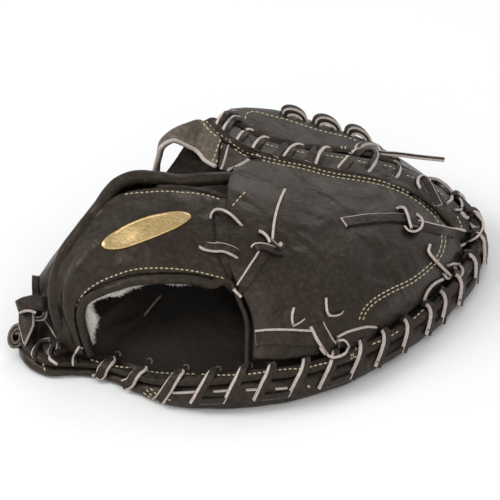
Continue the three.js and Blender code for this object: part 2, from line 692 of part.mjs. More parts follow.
// Laces from the strip to the web: low end on the strip, top of the arc, high end on the web edge.
const stripLoops = [
  { low: [-29, 16, 105.5], top: [-29, 27, 111], high: [-30, 38, 106] },
  { low: [-18, 15, 103], top: [-18, 27, 108], high: [-20, 40, 101] },
  { low: [-7, 16, 99.5], top: [-8, 29, 104], high: [-11, 43, 98] },
  { low: [10, 26, 93], top: [8, 40, 97], high: [3, 54, 91.5] },
  { low: [25, 38, 86.5], top: [22, 53, 91], high: [17, 70, 84] },
  { low: [35, 49, 81], top: [32, 67, 85.5], high: [27, 84, 77.5] },
  { low: [49, 66, 72], top: [46.5, 83, 76.5], high: [39.5, 98.5, 69] },
  { low: [59, 81, 63], top: [56, 97, 66.5], high: [50, 109, 60] },
];
stripLoops.forEach((r, i) => {
  const low = onLeather(r.low, laceThick / 2 + 0.9);
  const high = onLeather(r.high, laceThick / 2 + 0.9);
  const path = through([low.at, vec(r.top), high.at], 6);
  const ups = path.map(() => vec([0.25, -0.15, 1]));
  place(`strip_lace_${i + 1}`, bar(path, ups, laceWide / 2, laceThick / 2, flatShape), laceDark);
});

// Double lace hoops that stand on the ridge of the web.
const ridgeHoops = [
  { from: [-20, 74, 92.5], to: [-5, 87, 84], rise: 7.5 },
  { from: [-1, 90, 82.5], to: [11, 104, 71], rise: 8 },
  { from: [13, 105, 70], to: [22, 117, 60.5], rise: 8.5 },
];
ridgeHoops.forEach((r, i) => {
  const hoops = [{ wide: 5, shift: 0, low: 0.2 }, { wide: 4, shift: 3.0, low: 1.5 }].map((h) => {
    const from = onLeather(r.from, 1.5).at;
    const to = onLeather(r.to, 1.5).at;
    const side = to.clone().sub(from).normalize();
    from.addScaledVector(side, h.low);
    to.addScaledVector(side, -h.low);
    const path = Array.from({ length: 7 }, (_, k) => {
      const a = (k / 6) * Math.PI;
      const p = from.clone().lerp(to, (1 - Math.cos(a)) / 2);
      p.z += Math.sin(a) * (r.rise - h.low * 0.7);
      p.x += h.shift * 0.5;
      p.y -= h.shift * 0.75;
      return p;
    });
    const ups = path.map((p, k) => {
      const a = (k / 6) * Math.PI;
      return side.clone().multiplyScalar(-Math.cos(a)).add(vec([0, 0, Math.max(Math.sin(a), 0.05)]));
    });
    return toSolid(bar(path, ups, h.wide / 2, laceThick / 2, flatShape));
  });
  place(`ridge_hoop_${i + 1}`, joined(hoops), laceDark);
});

// Knot at the end of the web and the stiff lace end that stands off it.
place('ridge_tie', joined([
  thong([[24, 94, 73, 0.8], [30, 104, 66.5, 2.4], [36, 113, 58, 0.8]], { wide: 5 }),
  thong([[26, 88, 72.5, 0.6], [29, 100, 68, 1.2], [27, 112, 61.5, 0.6]], { wide: 5 }),
  toSolid(bar(
    evenly([[30, 103, 69.6], [44, 108, 68], [58, 112, 64.5], [72, 118, 62]], 6),
    Array.from({ length: 6 }, () => vec([0, 0.3, 1])),
    1.9,
    laceThick / 2,
    flatShape,
  )),
]), laceDark);

// Heel tie at the far corner with its pointed end.
const heelTie = [
  { run: [[-98.5, -97, 31], [-100, -106, 29.5], [-101, -113, 26]], wide: 7, up: [-0.5, -0.2, 1] },
  { run: [[-97, -109, 32.5], [-102, -109, 29.5], [-106.5, -108, 22]], wide: 6.5, up: [-0.4, 0, 1] },
  {
    run: [
      [-98.5, -111, 27], [-103, -116, 20], [-101.5, -124, 13], [-95, -132, 7],
    ],
    wide: 6,
    up: [-1, -0.6, 0.3],
  },
  { run: [[-100, -104, 30], [-99.5, -101, 36], [-99, -98, 46]], wide: 5, up: [0.3, -1, 0.2] },
];
place('heel_tie', joined(heelTie.map((r) => {
  const path = evenly(r.run, r.run.length + 2);
  return toSolid(bar(path, path.map(() => vec(r.up)), r.wide / 2, laceThick / 2, flatShape));
})), laceDark);

export default group;
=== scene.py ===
# Catcher mitt on a pale studio floor: black leather, laced rim, pale cut lace edges.
import math
import random
import bpy
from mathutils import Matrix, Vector, noise
from mathutils.bvhtree import BVHTree


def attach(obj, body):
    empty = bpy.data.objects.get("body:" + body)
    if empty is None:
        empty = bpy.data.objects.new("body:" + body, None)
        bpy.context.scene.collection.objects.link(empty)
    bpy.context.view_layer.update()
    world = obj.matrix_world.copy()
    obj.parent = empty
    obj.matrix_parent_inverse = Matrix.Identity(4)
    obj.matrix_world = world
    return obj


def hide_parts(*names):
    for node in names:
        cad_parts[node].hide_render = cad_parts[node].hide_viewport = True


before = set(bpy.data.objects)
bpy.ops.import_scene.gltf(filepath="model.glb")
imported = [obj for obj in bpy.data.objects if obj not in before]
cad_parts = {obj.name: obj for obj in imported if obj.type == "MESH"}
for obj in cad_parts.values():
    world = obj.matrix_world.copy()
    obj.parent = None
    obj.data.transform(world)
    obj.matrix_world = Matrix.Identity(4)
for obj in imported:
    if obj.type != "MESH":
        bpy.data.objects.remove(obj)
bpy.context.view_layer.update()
mm = 0.001
drawingShift = Vector((-2.3, -6.9, 0.0))  # mm, from the palm's drawing frame to the part's frame

# Where the camera stands: turned and raised as in the photograph, 500 pixels across.
shot = {
    "turn": 30.0,
    "raise": 32.0,
    "pixelsPerMm": 1.61,
    "centrePixel": (250.0, 300.0),
    "pixels": 500,
    "lens": 1500.0,  # mm, with the sensor of 36 mm
    "sensor": 36.0,
    "middle": 30.0,  # mm towards the camera, where the scale holds
}
turn = math.radians(shot["turn"])
rise = math.radians(shot["raise"])
towardCamera = Vector((math.sin(turn) * math.cos(rise), -math.cos(turn) * math.cos(rise), math.sin(rise)))
cameraRight = Vector((math.cos(turn), math.sin(turn), 0.0))
cameraUp = towardCamera.cross(cameraRight)


def makeCamera():
    data = bpy.data.cameras.new("shotCamera")
    data.lens = shot["lens"]
    data.sensor_width = shot["sensor"]
    data.clip_end = 60.0
    camera = bpy.data.objects.new("shotCamera", data)
    bpy.context.scene.collection.objects.link(camera)
    wide = shot["pixels"] / shot["pixelsPerMm"]
    lookAt = drawingShift + cameraUp * ((shot["centrePixel"][1] - shot["pixels"] / 2) / shot["pixelsPerMm"])
    lookAt += towardCamera * shot["middle"]
    camera.location = (lookAt + towardCamera * (wide * shot["lens"] / shot["sensor"])) * mm
    camera.rotation_euler = towardCamera.to_track_quat("Z", "Y").to_euler()
    bpy.context.scene.camera = camera


def pixelOf(point):
    # photograph pixel of a point of the drawing frame
    return (shot["centrePixel"][0] + shot["pixelsPerMm"] * point.dot(cameraRight),
            shot["centrePixel"][1] - shot["pixelsPerMm"] * point.dot(cameraUp))


def stepsTo(u, v):
    # millimetres to the right and up in the picture, from the frame's origin to a pixel
    middleU, middleV = shot["centrePixel"]
    return (u - middleU) / shot["pixelsPerMm"], (middleV - v) / shot["pixelsPerMm"]


def pixelSpot(u, v):
    across, lift = stepsTo(u, v)
    return cameraRight * across + cameraUp * lift


makeCamera()
print("camera placed")


# Curves and grids run smoothly through short tables, all in millimetres of the drawing frame.
def curvePoint(points, t, closed=False):
    n = len(points)
    p = (n if closed else n - 1) * t
    i = int(math.floor(p))
    w = p - i
    if not closed and i >= n - 1:
        i, w = n - 2, 1.0
    p1, p2 = points[i % n], points[(i + 1) % n]
    p0 = points[(i - 1) % n] if closed or i > 0 else p1 * 2 - p2
    p3 = points[(i + 2) % n] if closed or i + 2 < n else p2 * 2 - p1
    d1 = max((p2 - p1).length_squared ** 0.25, 1e-4)
    d0 = (p1 - p0).length_squared ** 0.25 or d1
    d2 = (p3 - p2).length_squared ** 0.25 or d1
    t1 = ((p1 - p0) / d0 - (p2 - p0) / (d0 + d1) + (p2 - p1) / d1) * d1
    t2 = ((p2 - p1) / d1 - (p3 - p1) / (d1 + d2) + (p3 - p2) / d2) * d1
    return p1 + t1 * w + (p2 * 3 - p1 * 3 - t1 * 2 - t2) * w ** 2 + (p1 * 2 - p2 * 2 + t1 + t2) * w ** 3


def through(points, count, closed=False):
    # smooth run through points, with the same number of steps between each two
    spots = [Vector(p) for p in points]
    last = count if closed else count - 1
    return [curvePoint(spots, i / last, closed) for i in range(count)]


def evenly(points, count, closed=False):
    # smooth run through points, with steps of the same length
    fine = through(points, max(12 * len(points), 3 * count), closed)
    if closed:
        fine.append(fine[0])
    reach = [0.0]
    for a, b in zip(fine, fine[1:]):
        reach.append(reach[-1] + (b - a).length)
    out, k = [], 0
    last = count if closed else count - 1
    for i in range(count):
        goal = reach[-1] * i / last
        while k < len(reach) - 2 and reach[k + 1] < goal:
            k += 1
        span = max(reach[k + 1] - reach[k], 1e-9)
        out.append(fine[k].lerp(fine[k + 1], min(max((goal - reach[k]) / span, 0.0), 1.0)))
    return out


def weave(sections, along, across):
    # smooth grid through rows of points
    rows = [through(s, across) for s in sections]
    columns = [through([r[j] for r in rows], along) for j in range(across)]
    return [[columns[j][i] for j in range(across)] for i in range(along)]


def gridNormals(grid, side):
    n, m = len(grid), len(grid[0])
    out = []
    for i in range(n):
        row = []
        for j in range(m):
            a = grid[min(i + 1, n - 1)][j] - grid[max(i - 1, 0)][j]
            b = grid[i][min(j + 1, m - 1)] - grid[i][max(j - 1, 0)]
            row.append(a.cross(b).normalized() * side)
        out.append(row)
    return out


def pixelGap(spot, line):
    # distance in pixels from a spot to a row of pixels
    best = 1e9
    for (ax, ay), b in zip(line, line[1:]):
        bx, by = b[0] - ax, b[1] - ay
        w = min(max(((spot[0] - ax) * bx + (spot[1] - ay) * by) / (bx * bx + by * by), 0.0), 1.0)
        best = min(best, math.hypot(spot[0] - ax - bx * w, spot[1] - ay - by * w))
    return best


def runAt(path, i):
    return (path[min(i + 1, len(path) - 1)] - path[max(i - 1, 0)]).normalized()


def ringFaces(rows, count):
    # faces between closed rings of points
    faces = []
    for r in range(rows - 1):
        for i in range(count):
            j = (i + 1) % count
            faces.append((r * count + i, r * count + j, (r + 1) * count + j, (r + 1) * count + i))
    return faces


def shellFaces(n, m):
    # closed sheet: an outer grid of n by m points, and an inner one of the same size after it
    size, faces = n * m, []
    for i in range(n - 1):
        for j in range(m - 1):
            a, b, c, d = i * m + j, (i + 1) * m + j, (i + 1) * m + j + 1, i * m + j + 1
            faces += [(a, b, c, d), (size + a, size + d, size + c, size + b)]
    for i in range(n - 1):
        a, b, e = i * m, (i + 1) * m, m - 1
        faces += [(a, size + a, size + b, b), (a + e, b + e, size + b + e, size + a + e)]
    for j in range(m - 1):
        a = (n - 1) * m + j
        faces += [(j, j + 1, size + j + 1, size + j), (a, size + a, size + a + 1, a + 1)]
    return faces


def addPiece(name, points, faces, material, marks=None):
    # one finished piece from drawing-frame points; marks gives a material index for each face
    mesh = bpy.data.meshes.new(name)
    mesh.from_pydata([(p + drawingShift) * mm for p in points], [], faces)
    mesh.update()
    for look in material if isinstance(material, (list, tuple)) else [material]:
        mesh.materials.append(look)
    mesh.polygons.foreach_set("use_smooth", [True] * len(faces))
    if marks:
        mesh.polygons.foreach_set("material_index", marks)
    thing = bpy.data.objects.new(name, mesh)
    bpy.context.scene.collection.objects.link(thing)
    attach(thing, "root")
    return thing


def makeActive(thing):
    bpy.ops.object.select_all(action="DESELECT")
    thing.select_set(True)
    bpy.context.view_layer.objects.active = thing


def applyRounding(thing):
    makeActive(thing)
    rounding = thing.modifiers.new("rounding", "SUBSURF")
    rounding.levels = 1
    rounding.render_levels = 1
    bpy.ops.object.modifier_apply(modifier=rounding.name)


def faceOutward(thing, crease=None):
    # turns the faces outward; crease in degrees keeps the edges past it crisp
    makeActive(thing)
    bpy.ops.object.mode_set(mode="EDIT")
    bpy.ops.mesh.select_all(action="SELECT")
    bpy.ops.mesh.normals_make_consistent(inside=False)
    bpy.ops.object.mode_set(mode="OBJECT")
    if crease:
        bpy.ops.object.shade_smooth_by_angle(angle=math.radians(crease))


# Colours are hex text; every material is worked out from the piece's own coordinates.
def hexColour(text):
    parts = [int(text[i:i + 2], 16) / 255 for i in (1, 3, 5)]
    return (*[c / 12.92 if c <= 0.04045 else ((c + 0.055) / 1.055) ** 2.4 for c in parts], 1.0)


def node(material, kind, inputs=None, **settings):
    # adds one node; an input is a value or another node's output socket
    made = material.node_tree.nodes.new(kind)
    for key, value in settings.items():
        setattr(made, key, value)
    for key, value in (inputs or {}).items():
        if isinstance(value, bpy.types.NodeSocket):
            material.node_tree.links.new(value, made.inputs[key])
        else:
            made.inputs[key].default_value = value
    return made


def noiseOf(material, place, scale, detail, **more):
    inputs = {"Vector": place, "Scale": scale, "Detail": detail, **more}
    return node(material, "ShaderNodeTexNoise", inputs).outputs["Fac"]


def bump(material, height, strength, distance, under=None, **settings):
    inputs = {"Height": height, "Strength": strength, "Distance": distance}
    if under:
        inputs["Normal"] = under
    return node(material, "ShaderNodeBump", inputs, **settings).outputs[0]


def newMaterial(name, roughness, specular=0.5):
    material = bpy.data.materials.new(name)
    material.use_nodes = True
    shader = material.node_tree.nodes["Principled BSDF"]
    shader.inputs["Roughness"].default_value = roughness
    shader.inputs["Specular IOR Level"].default_value = specular
    return material, shader


def ramp(material, factor, stops):
    made = node(material, "ShaderNodeValToRGB", {"Fac": factor})
    elements = made.color_ramp.elements
    while len(elements) < len(stops):
        elements.new(0.5)
    for element, (place, colour) in zip(elements, stops):
        element.position = place
        element.color = hexColour(colour)
    return made.outputs["Color"]


leatherLook = {
    "specular": 0.42,
    "tint": "#e6d3c0",
    "patches": 26.0,  # scale of the patchy dye
    "mottle": 340.0,
    "midTone": 0.38,
    "tones": (0.1, 0.5, 0.85),
    "grainDeep": 0.00022,  # metres
    "wrinkleDeep": 0.0016,
    "wrinkleShare": 0.45,
    "folds": 27.0,
    "foldDeep": 0.009,
    "foldShare": 0.6,
}


def leatherMaterial(name, colours, grain=1.1, wrinkle=9.0, rough=(0.3, 0.54), depth=0.35):
    # pebbled grain about a millimetre across, long soft wrinkles, slightly patchy dye and polish
    look = leatherLook
    material, shader = newMaterial(name, sum(rough) / 2, look["specular"])
    shader.inputs["Specular Tint"].default_value = hexColour(look["tint"])
    links = material.node_tree.links
    place = node(material, "ShaderNodeTexCoord").outputs["Object"]
    patches = noiseOf(material, place, look["patches"], 5.0)
    mottle = noiseOf(material, place, look["mottle"], 3.0)
    blend = node(material, "ShaderNodeMath", {0: patches, 1: mottle, 2: mottle},
                 operation="MULTIPLY_ADD").outputs[0]
    tone = node(material, "ShaderNodeMath", {0: blend, 1: look["midTone"]}, operation="SUBTRACT").outputs[0]
    links.new(ramp(material, tone, list(zip(look["tones"], colours))), shader.inputs["Base Color"])
    polish = node(material, "ShaderNodeMapRange", {"Value": patches, "From Min": 0.3, "From Max": 0.7,
                                                   "To Min": rough[0], "To Max": rough[1]}).outputs[0]
    links.new(polish, shader.inputs["Roughness"])
    cells = node(material, "ShaderNodeTexVoronoi", {"Vector": place, "Scale": 1000.0 / grain},
                 feature="SMOOTH_F1").outputs["Distance"]
    crumple = noiseOf(material, place, 1000.0 / wrinkle, 6.0, Distortion=0.8)
    folds = noiseOf(material, place, look["folds"], 1.5, Distortion=1.2)
    fine = bump(material, cells, depth, look["grainDeep"], invert=True)
    deep = bump(material, crumple, look["wrinkleShare"], look["wrinkleDeep"], fine)
    links.new(bump(material, folds, look["foldShare"], look["foldDeep"], deep), shader.inputs["Normal"])
    return material


def fibreMaterial(name, colours, scale, rough, deep):
    # raw cut leather, thread or pile: short fibres give a soft uneven colour
    material, shader = newMaterial(name, rough, 0.25)
    links = material.node_tree.links
    place = node(material, "ShaderNodeTexCoord").outputs["Object"]
    fibres = noiseOf(material, place, scale, 4.0, Roughness=0.7)
    links.new(ramp(material, fibres, list(zip((0.25, 0.5, 0.75), colours))), shader.inputs["Base Color"])
    links.new(bump(material, fibres, 0.5, deep), shader.inputs["Normal"])
    return material


def foilMaterial(name):
    # gold foil pressed on leather: brushed, with a faint warm drift of colour
    material, shader = newMaterial(name, 0.3)
    links = material.node_tree.links
    shader.inputs["Metallic"].default_value = 1.0
    place = node(material, "ShaderNodeTexCoord").outputs["Object"]
    turned = node(material, "ShaderNodeMapping", {"Vector": place, "Scale": (60.0, 420.0, 420.0),
                                                  "Rotation": (0.3, 0.2, 0.78)}).outputs[0]
    brush = noiseOf(material, turned, 4.0, 3.0)
    links.new(ramp(material, brush, [(0.2, "#a98956"), (0.5, "#cfb27c"), (0.8, "#e8d3a6")]),
              shader.inputs["Base Color"])
    gloss = node(material, "ShaderNodeMapRange", {"Value": brush, "To Min": 0.22, "To Max": 0.42}).outputs[0]
    links.new(gloss, shader.inputs["Roughness"])
    links.new(bump(material, brush, 0.3, 0.0001), shader.inputs["Normal"])
    return material


blackLeather = leatherMaterial("blackLeather", ("#1c1713", "#2a241f", "#3d352e"))
softLeather = leatherMaterial("softLeather", ("#1a1512", "#27211c", "#3a322c"), 1.3, 6.0, (0.42, 0.6), 0.45)
# near-black for the inside of the hand opening: a dark lining, with the shade that falls inside the opening
# painted into its colour
handLiningShade = leatherMaterial("handLiningShade", ("#070707", "#0c0b0b", "#141312"), 1.4, 8.0, (0.6, 0.8), 0.3)
greyLeather = leatherMaterial("greyLeather", ("#4a433b", "#5f564c", "#73695e"), 1.3, 12.0, (0.42, 0.55), 0.3)
laceFace = leatherMaterial("laceFace", ("#1a1613", "#292320", "#3c342f"), 0.9, 5.0, (0.42, 0.58), 0.3)
rawEdge = fibreMaterial("rawEdge", ("#8f827a", "#b9aca4", "#d6cbc3"), 900.0, 0.85, 0.0002)
creamThread = fibreMaterial("creamThread", ("#8c8268", "#bdb290", "#d8cfb4"), 1400.0, 0.7, 0.0001)
paleFleece = fibreMaterial("paleFleece", ("#8f8882", "#b8b1ab", "#dcd6d0"), 700.0, 0.95, 0.0006)
goldFoil = foilMaterial("goldFoil")
print("materials made")


# Rim and padded palm. Outline on the ground: x, y and the height of the padded edge there.
rimTable = [
    (-64, -143, 8), (-50, -134, 6), (-35, -128, 6), (-15, -130, 8), (8, -135, 12), (27, -134, 16),
    (47, -125, 18), (67, -111, 20), (85, -92, 18), (98, -71, 17), (105, -56, 16), (111, -36, 15),
    (116, -13, 14), (119, 13, 13), (119.5, 40, 12), (117, 69, 13), (112, 93, 15), (104, 113, 18),
    (92, 125, 20), (77, 135, 20), (60, 141, 20), (42, 146, 20), (18, 152, 19), (-8, 152, 18),
    (-36, 141, 17), (-62, 117, 16), (-81, 94, 15), (-97, 70, 15), (-109, 44, 15), (-115, 16, 16),
    (-114, -16, 16), (-109, -50, 16), (-104, -88, 15), (-97, -118, 13), (-84, -137, 10),
]
# Rings of the palm: underside by share of the way out, edge by inset and rise, upper side by share.
palmUnder = [
    (0.00, 37), (0.30, 35), (0.52, 29), (0.70, 19), (0.84, 6.5), (0.91, 0.6), (0.95, 0.0),
]
palmEdge = [
    (3.0, 0.09), (0.8, 0.30), (0.0, 0.55), (1.2, 0.82), (4.0, 0.97), (9.0, 1.00),
]
palmUpper = [
    (0.86, 20), (0.74, 32), (0.56, 43), (0.34, 51), (0.00, 54),
]
palm = {
    "centre": (4.0, -4.0, 0.0),
    "steps": 420,
    "rows": 64,
    "puffRows": (18, 46),  # rows of the padded edge that are a little uneven
    "puff": 0.7,
    "puffSize": 17.0,
    "fill": 0.8,
}
rim = {
    "steps": 840,
    "around": 20,
    "inset": 4.4,
    "halfWide": 3.9,
    "halfHigh": 3.4,
    "gap": 0.65,
    "ripple": 0.05,
    "groove": 0.9,  # depth of the line between the two rolled bindings
    "grooves": ((math.pi / 2 + 0.25, 0.22), (math.pi * 0.98, 0.2)),  # angle and half width
}
rimFine = 1200
rimLoop = evenly([Vector(p) for p in rimTable], rimFine, True)


def rimSpot(share):
    p = (share % 1.0) * rimFine
    i = int(p)
    return rimLoop[i % rimFine].lerp(rimLoop[(i + 1) % rimFine], p - i)


def rimRun(share):
    return (rimSpot(share + 0.0015) - rimSpot(share - 0.0015)).normalized()


def rimPoint(share, inset, lift=0.0, fromTop=True):
    # point inside the outline, at a height above the padded edge or above the floor
    p, run = rimSpot(share), rimRun(share)
    inward = Vector((-run.y, run.x, 0.0)).normalized()
    return Vector((p.x, p.y, p.z + lift if fromTop else lift)) + inward * inset


def rimHalf(share):
    # half the height of the rolled binding
    return min(rim["halfHigh"], 1.4 + rimSpot(share).z * 0.12)


def makePalm():
    steps, rows, centre = palm["steps"], palm["rows"], Vector(palm["centre"])
    sections = []
    for i in range(steps):
        share = i / steps
        edge, high = rimPoint(share, 0.0, 0.0, False), rimSpot(share).z
        section = [centre.lerp(edge, max(s, 0.001)) + Vector((0, 0, z)) for s, z in palmUnder]
        section += [rimPoint(share, inset, high * lift, False) for inset, lift in palmEdge]
        section += [centre.lerp(edge, max(s, 0.001)) + Vector((0, 0, z)) for s, z in palmUpper]
        sections.append(through(section, rows))
    points = [sections[i][k] for k in range(rows) for i in range(steps)]
    first, last = palm["puffRows"]
    for p in points[(first + 1) * steps:last * steps]:
        puff = noise.fractal(Vector((p.x, p.y, p.z * 2.0)) / palm["puffSize"], 1.0, 2.0, 3)
        out = p - centre
        out.z = 0.0
        p += out.normalized() * puff * palm["puff"]
    faces = ringFaces(rows, steps)
    faces.append(tuple(reversed(range(steps))))
    faces.append(tuple(range((rows - 1) * steps, rows * steps)))
    # the upper rows and the top cap, inside the hand opening, take the near-black lining darkened with
    # painted shade
    marks = [1 if k >= last * steps else 0 for k in range((rows - 1) * steps)] + [0, 1]
    made = addPiece("palmLeather", points, faces, [blackLeather, handLiningShade], marks)
    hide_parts("palm_pad")
    return made


def makeBinding():
    # two rolled strips side by side with a sewn line sunk between them
    steps, around = rim["steps"], rim["around"]
    points = []
    for i in range(steps):
        share = i / steps
        half, run = rimHalf(share), rimRun(share)
        centre = rimPoint(share, rim["inset"], half + rim["gap"])
        inward = Vector((-run.y, run.x, 0.0)).normalized()
        ripple = 1.0 + rim["ripple"] * noise.noise(Vector((share * 260.0, 3.0, 1.0)))
        for k in range(around):
            a = 2 * math.pi * k / around
            sink = sum(rim["groove"] * math.exp(-((a - angle) / wide) ** 2) for angle, wide in rim["grooves"])
            reach = ripple * (1.0 - sink / rim["halfWide"])
            points.append(centre + inward * (math.cos(a) * rim["halfWide"] * reach)
                          + Vector((0, 0, math.sin(a) * half * reach)))
    faces = []
    for i in range(steps):
        j = (i + 1) % steps
        for k in range(around):
            k2 = (k + 1) % around
            faces.append((i * around + k, i * around + k2, j * around + k2, j * around + k))
    made = addPiece("rimBinding", points, faces, softLeather)
    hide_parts("rim_binding")
    return made


palmLeather = makePalm()
rimBinding = makeBinding()
print("palm and rim made")


# Leather panels: rows of outer points from the rim side to the inner edge of each panel.
fingerRows = [
    ((60, -101, 30), (52, -88, 52), (32, -79, 75), (17, -60, 93), (3, -32, 103)),
    ((67, -96, 29), (60, -81, 53), (44, -68, 76), (27, -46, 92), (-1, -10, 102)),
    ((76, -86, 27), (69, -68, 54), (55, -48, 76), (37, -24, 89), (6, 14, 94.5)),
    ((88, -70, 25), (80, -53, 53), (66, -29, 72), (48, -5, 83), (20, 30, 87)),
    ((98, -52, 23.5), (91, -37, 48), (78, -13, 66), (61, 11, 76), (35, 41, 80)),
    ((106, -30, 22), (101, -18, 42), (88, 5, 58), (74, 31, 67), (49, 56, 72)),
    ((111, -4, 21), (107, 7, 38), (98, 27, 51), (84, 50, 57), (61, 72, 63)),
    ((112, 26, 20), (109, 35, 34), (102, 51, 44), (90, 69, 47), (71, 83, 52)),
    ((111, 57, 19.5), (107, 64, 29), (101, 74, 35), (92, 83, 38), (82, 89, 40)),
    ((105, 88, 20), (102, 89, 24), (98, 91, 28), (93, 92, 30), (89, 92, 31)),
]
stripRows = [
    ((-45, 19, 107), (-41, 25, 108)), ((-34, 15, 105.5), (-31, 30, 104)),
    ((-24, 13.5, 103.5), (-19, 31, 100)), ((-13, 13, 100.5), (-8, 33, 97)),
    ((-1, 16, 96.5), (3, 41, 92)), ((10, 24, 92), (14, 49, 88)), ((21, 32, 87.5), (25, 64, 81.5)),
    ((36, 43, 80.5), (35, 77, 74.5)), ((49, 58, 72.5), (46.5, 93, 65.5)),
    ((61.5, 74, 63.5), (57.5, 106, 54.5)), ((72, 86, 53), (69, 116, 42.5)),
    ((82, 92, 42), (80, 119, 32.5)), ((91, 94, 32), (92, 113, 27.5)), ((98, 93, 28), (100, 103, 25)),
]
webRows = [
    ((-38, 34, 106.5), (-40, 44, 104), (-62, 66, 58), (-86, 76, 20)),
    ((-28, 37, 103), (-34, 58, 99.5), (-56, 82, 60), (-74, 92, 20)),
    ((-10, 41, 95.5), (-22, 76, 90.5), (-42, 106, 55), (-53, 116, 20)),
    ((7, 54, 88.5), (-7, 88, 82), (-22, 120, 47), (-32, 132, 20)),
    ((19, 70, 81), (6, 103, 71), (-3, 132, 38), (-8, 142, 22)),
    ((28, 84, 74), (20, 118, 58), (12, 136, 36), (10, 143, 24)),
    ((41, 100, 63), (34, 129, 45), (30, 136, 34), (28, 140, 26)),
    ((58, 118, 45), (54, 132, 34), (53, 134, 30), (52, 135, 27)),
]
thumbRows = [
    ((-70, -119, 40), (-76, -120, 36), (-84, -120, 31), (-90, -120, 23)),
    ((-72, -106, 62), (-84, -106, 50), (-93, -106, 38), (-96, -105, 23)),
    ((-67, -78, 84), (-84, -74, 64), (-96, -70, 44), (-101, -68, 23)),
    ((-60, -50, 94), (-84, -38, 70), (-100, -30, 44), (-106, -26, 22)),
    ((-52, -28, 88), (-78, -8, 64), (-99, 4, 40), (-106, 8, 21)),
    ((-49, -8, 80), (-73, 14, 57), (-94, 28, 38), (-103, 36, 20)),
    ((-50, 10, 70), (-68, 28, 52), (-86, 44, 36), (-97, 56, 20)),
]
# The last point of each row lies at the roll near the heel, and tucked in along the finger slit.
beltRows = [
    ((-44.5, -128, 15), (-48, -129.4, 15), (-52.6, -129.4, 15.5), (-58, -127.5, 16)),
    ((-46.5, -130.5, 27), (-50, -131, 27), (-54, -129.5, 27), (-59.5, -130, 27)),
    ((-49.8, -130.8, 42), (-56, -131.6, 42), (-60, -128, 41), (-65, -130, 41)),
    ((-48.6, -128.4, 54), (-57.4, -129.4, 57), (-63, -125, 57), (-68.5, -124, 57)),
    ((-38, -124, 64), (-53, -124, 74), (-62, -116, 73), (-68.5, -113, 72)),
    ((-28, -119, 70), (-46, -109, 87), (-57, -97, 88), (-62.5, -95, 87.5)),
    ((-17, -114, 75), (-35, -96, 92), (-50, -75, 98), (-53.5, -72, 99)),
    ((-2, -108, 78), (-17, -84, 96), (-35, -59, 102), (-37.5, -56.5, 101.2)),
    ((16, -96, 76), (4, -74, 94), (-13, -48, 103), (-15, -45.5, 102)),
    ((31, -86, 69), (21, -68, 87), (4.6, -41, 100), (3, -38.6, 99)),
    ((37, -83.5, 62), (28, -64.5, 81), (11, -35, 96), (9.5, -32.6, 95)),
]
bandRows = [
    ((-62, -10, 80), (-58, -20, 84)), ((-60, -12, 96), (-54, -21, 99)),
    ((-57, -13, 107), (-51, -21, 108)), ((-52, -7, 113), (-46, -15, 110.5)),
    ((-48, 4, 113), (-40, -10, 106)), ((-44, 15, 111), (-34, -7, 102)),
    ((-36, 11, 110), (-26, -11, 100)), ((-26, 9, 107), (-17, -13, 99.3)),
]
tabRows = [
    ((-25.4, 9, 103.7), (-16.4, -12.6, 98.6)), ((-14, 9, 100.5), (-9.5, -14, 100)),
    ((-5, 10, 98), (-4.5, 4, 99.5)),
]
foldRows = [
    ((-47, 0, 99), (-48.7, -10, 92.2), (-50.2, -20, 87.2)), ((-36, 3, 97), (-36, -8, 90), (-36, -20, 85)),
    ((-24, 6, 97), (-21, -3, 92), (-17, -14, 88)),
]

rimCoarse = 480
rimSamples = [rimSpot(k / rimCoarse) for k in range(rimCoarse)]


def keepInside(point, inset):
    # moves a point that would come too close to the outline
    p = Vector(point)
    gaps = [math.hypot(q.x - p.x, q.y - p.y) for q in rimSamples]
    best = gaps.index(min(gaps))
    if gaps[best] >= inset:
        return p
    q = rimPoint(best / rimCoarse, inset, 0.0, False)
    return Vector((q.x, q.y, p.z))


# Lines seen on the leather, in pixels of the photograph: row of pixels, half width in pixels, depth in mm.
# A plus depth sinks the leather, a minus depth lifts it.
fingerLines = [
    ([(204, 212), (225, 196), (250, 186), (300, 186), (360, 194), (420, 214)], 7.0, -0.5),
]
beltLines = [
    ([(86, 297), (100, 286), (131, 274), (154, 271), (194, 274), (224, 281)], 2.4, 0.8),
    ([(124, 193), (144, 191), (171, 190), (194, 190), (224, 198)], 2.4, 0.7),
]


def sinkAt(p, lines):
    spot = pixelOf(p)
    sink = 0.0
    for line, half, depth in lines:
        gap = pixelGap(spot, line)
        if gap < 3 * half:
            sink += depth * math.exp(-(gap / half) ** 2)
    return sink


panelThick, beltThick = 2.6, 4.0
usualPanel = {
    "thick": panelThick,
    "side": 1,  # which way the outer face looks from the grid
    "lines": (),
    "look": blackLeather,
    "swell": 0.6,  # mm of soft uneven swelling
    "swellSize": 22.0,
    "plump": 0.0,  # mm that the middle stands higher
}


def makePanel(name, node, grid, p):
    # closed leather sheet: soft swells and sunk lines on the outer face, then rounded edges
    n, m = len(grid), len(grid[0])
    normals = gridNormals(grid, p["side"])
    outer, inner = [], []
    for i in range(n):
        for j in range(m):
            spot, out = grid[i][j], normals[i][j]
            edge = min(1.0, 4.0 * min(i / (n - 1), 1 - i / (n - 1)), 4.0 * min(j / (m - 1), 1 - j / (m - 1)))
            lift = p["swell"] * edge * noise.fractal(spot / p["swellSize"], 1.0, 2.0, 3)
            lift += p["plump"] * max(math.sin(math.pi * j / (m - 1)), 0.0) ** 0.6 - sinkAt(spot, p["lines"])
            outer.append(spot + out * lift)
            inner.append(spot - out * (p["thick"] - 0.5 * p["swell"] * edge))
    faces = shellFaces(n, m)
    if p["side"] < 0:
        faces = [tuple(reversed(f)) for f in faces]
    thing = addPiece(name, outer + inner, faces, p["look"])
    applyRounding(thing)
    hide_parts(node)
    return thing


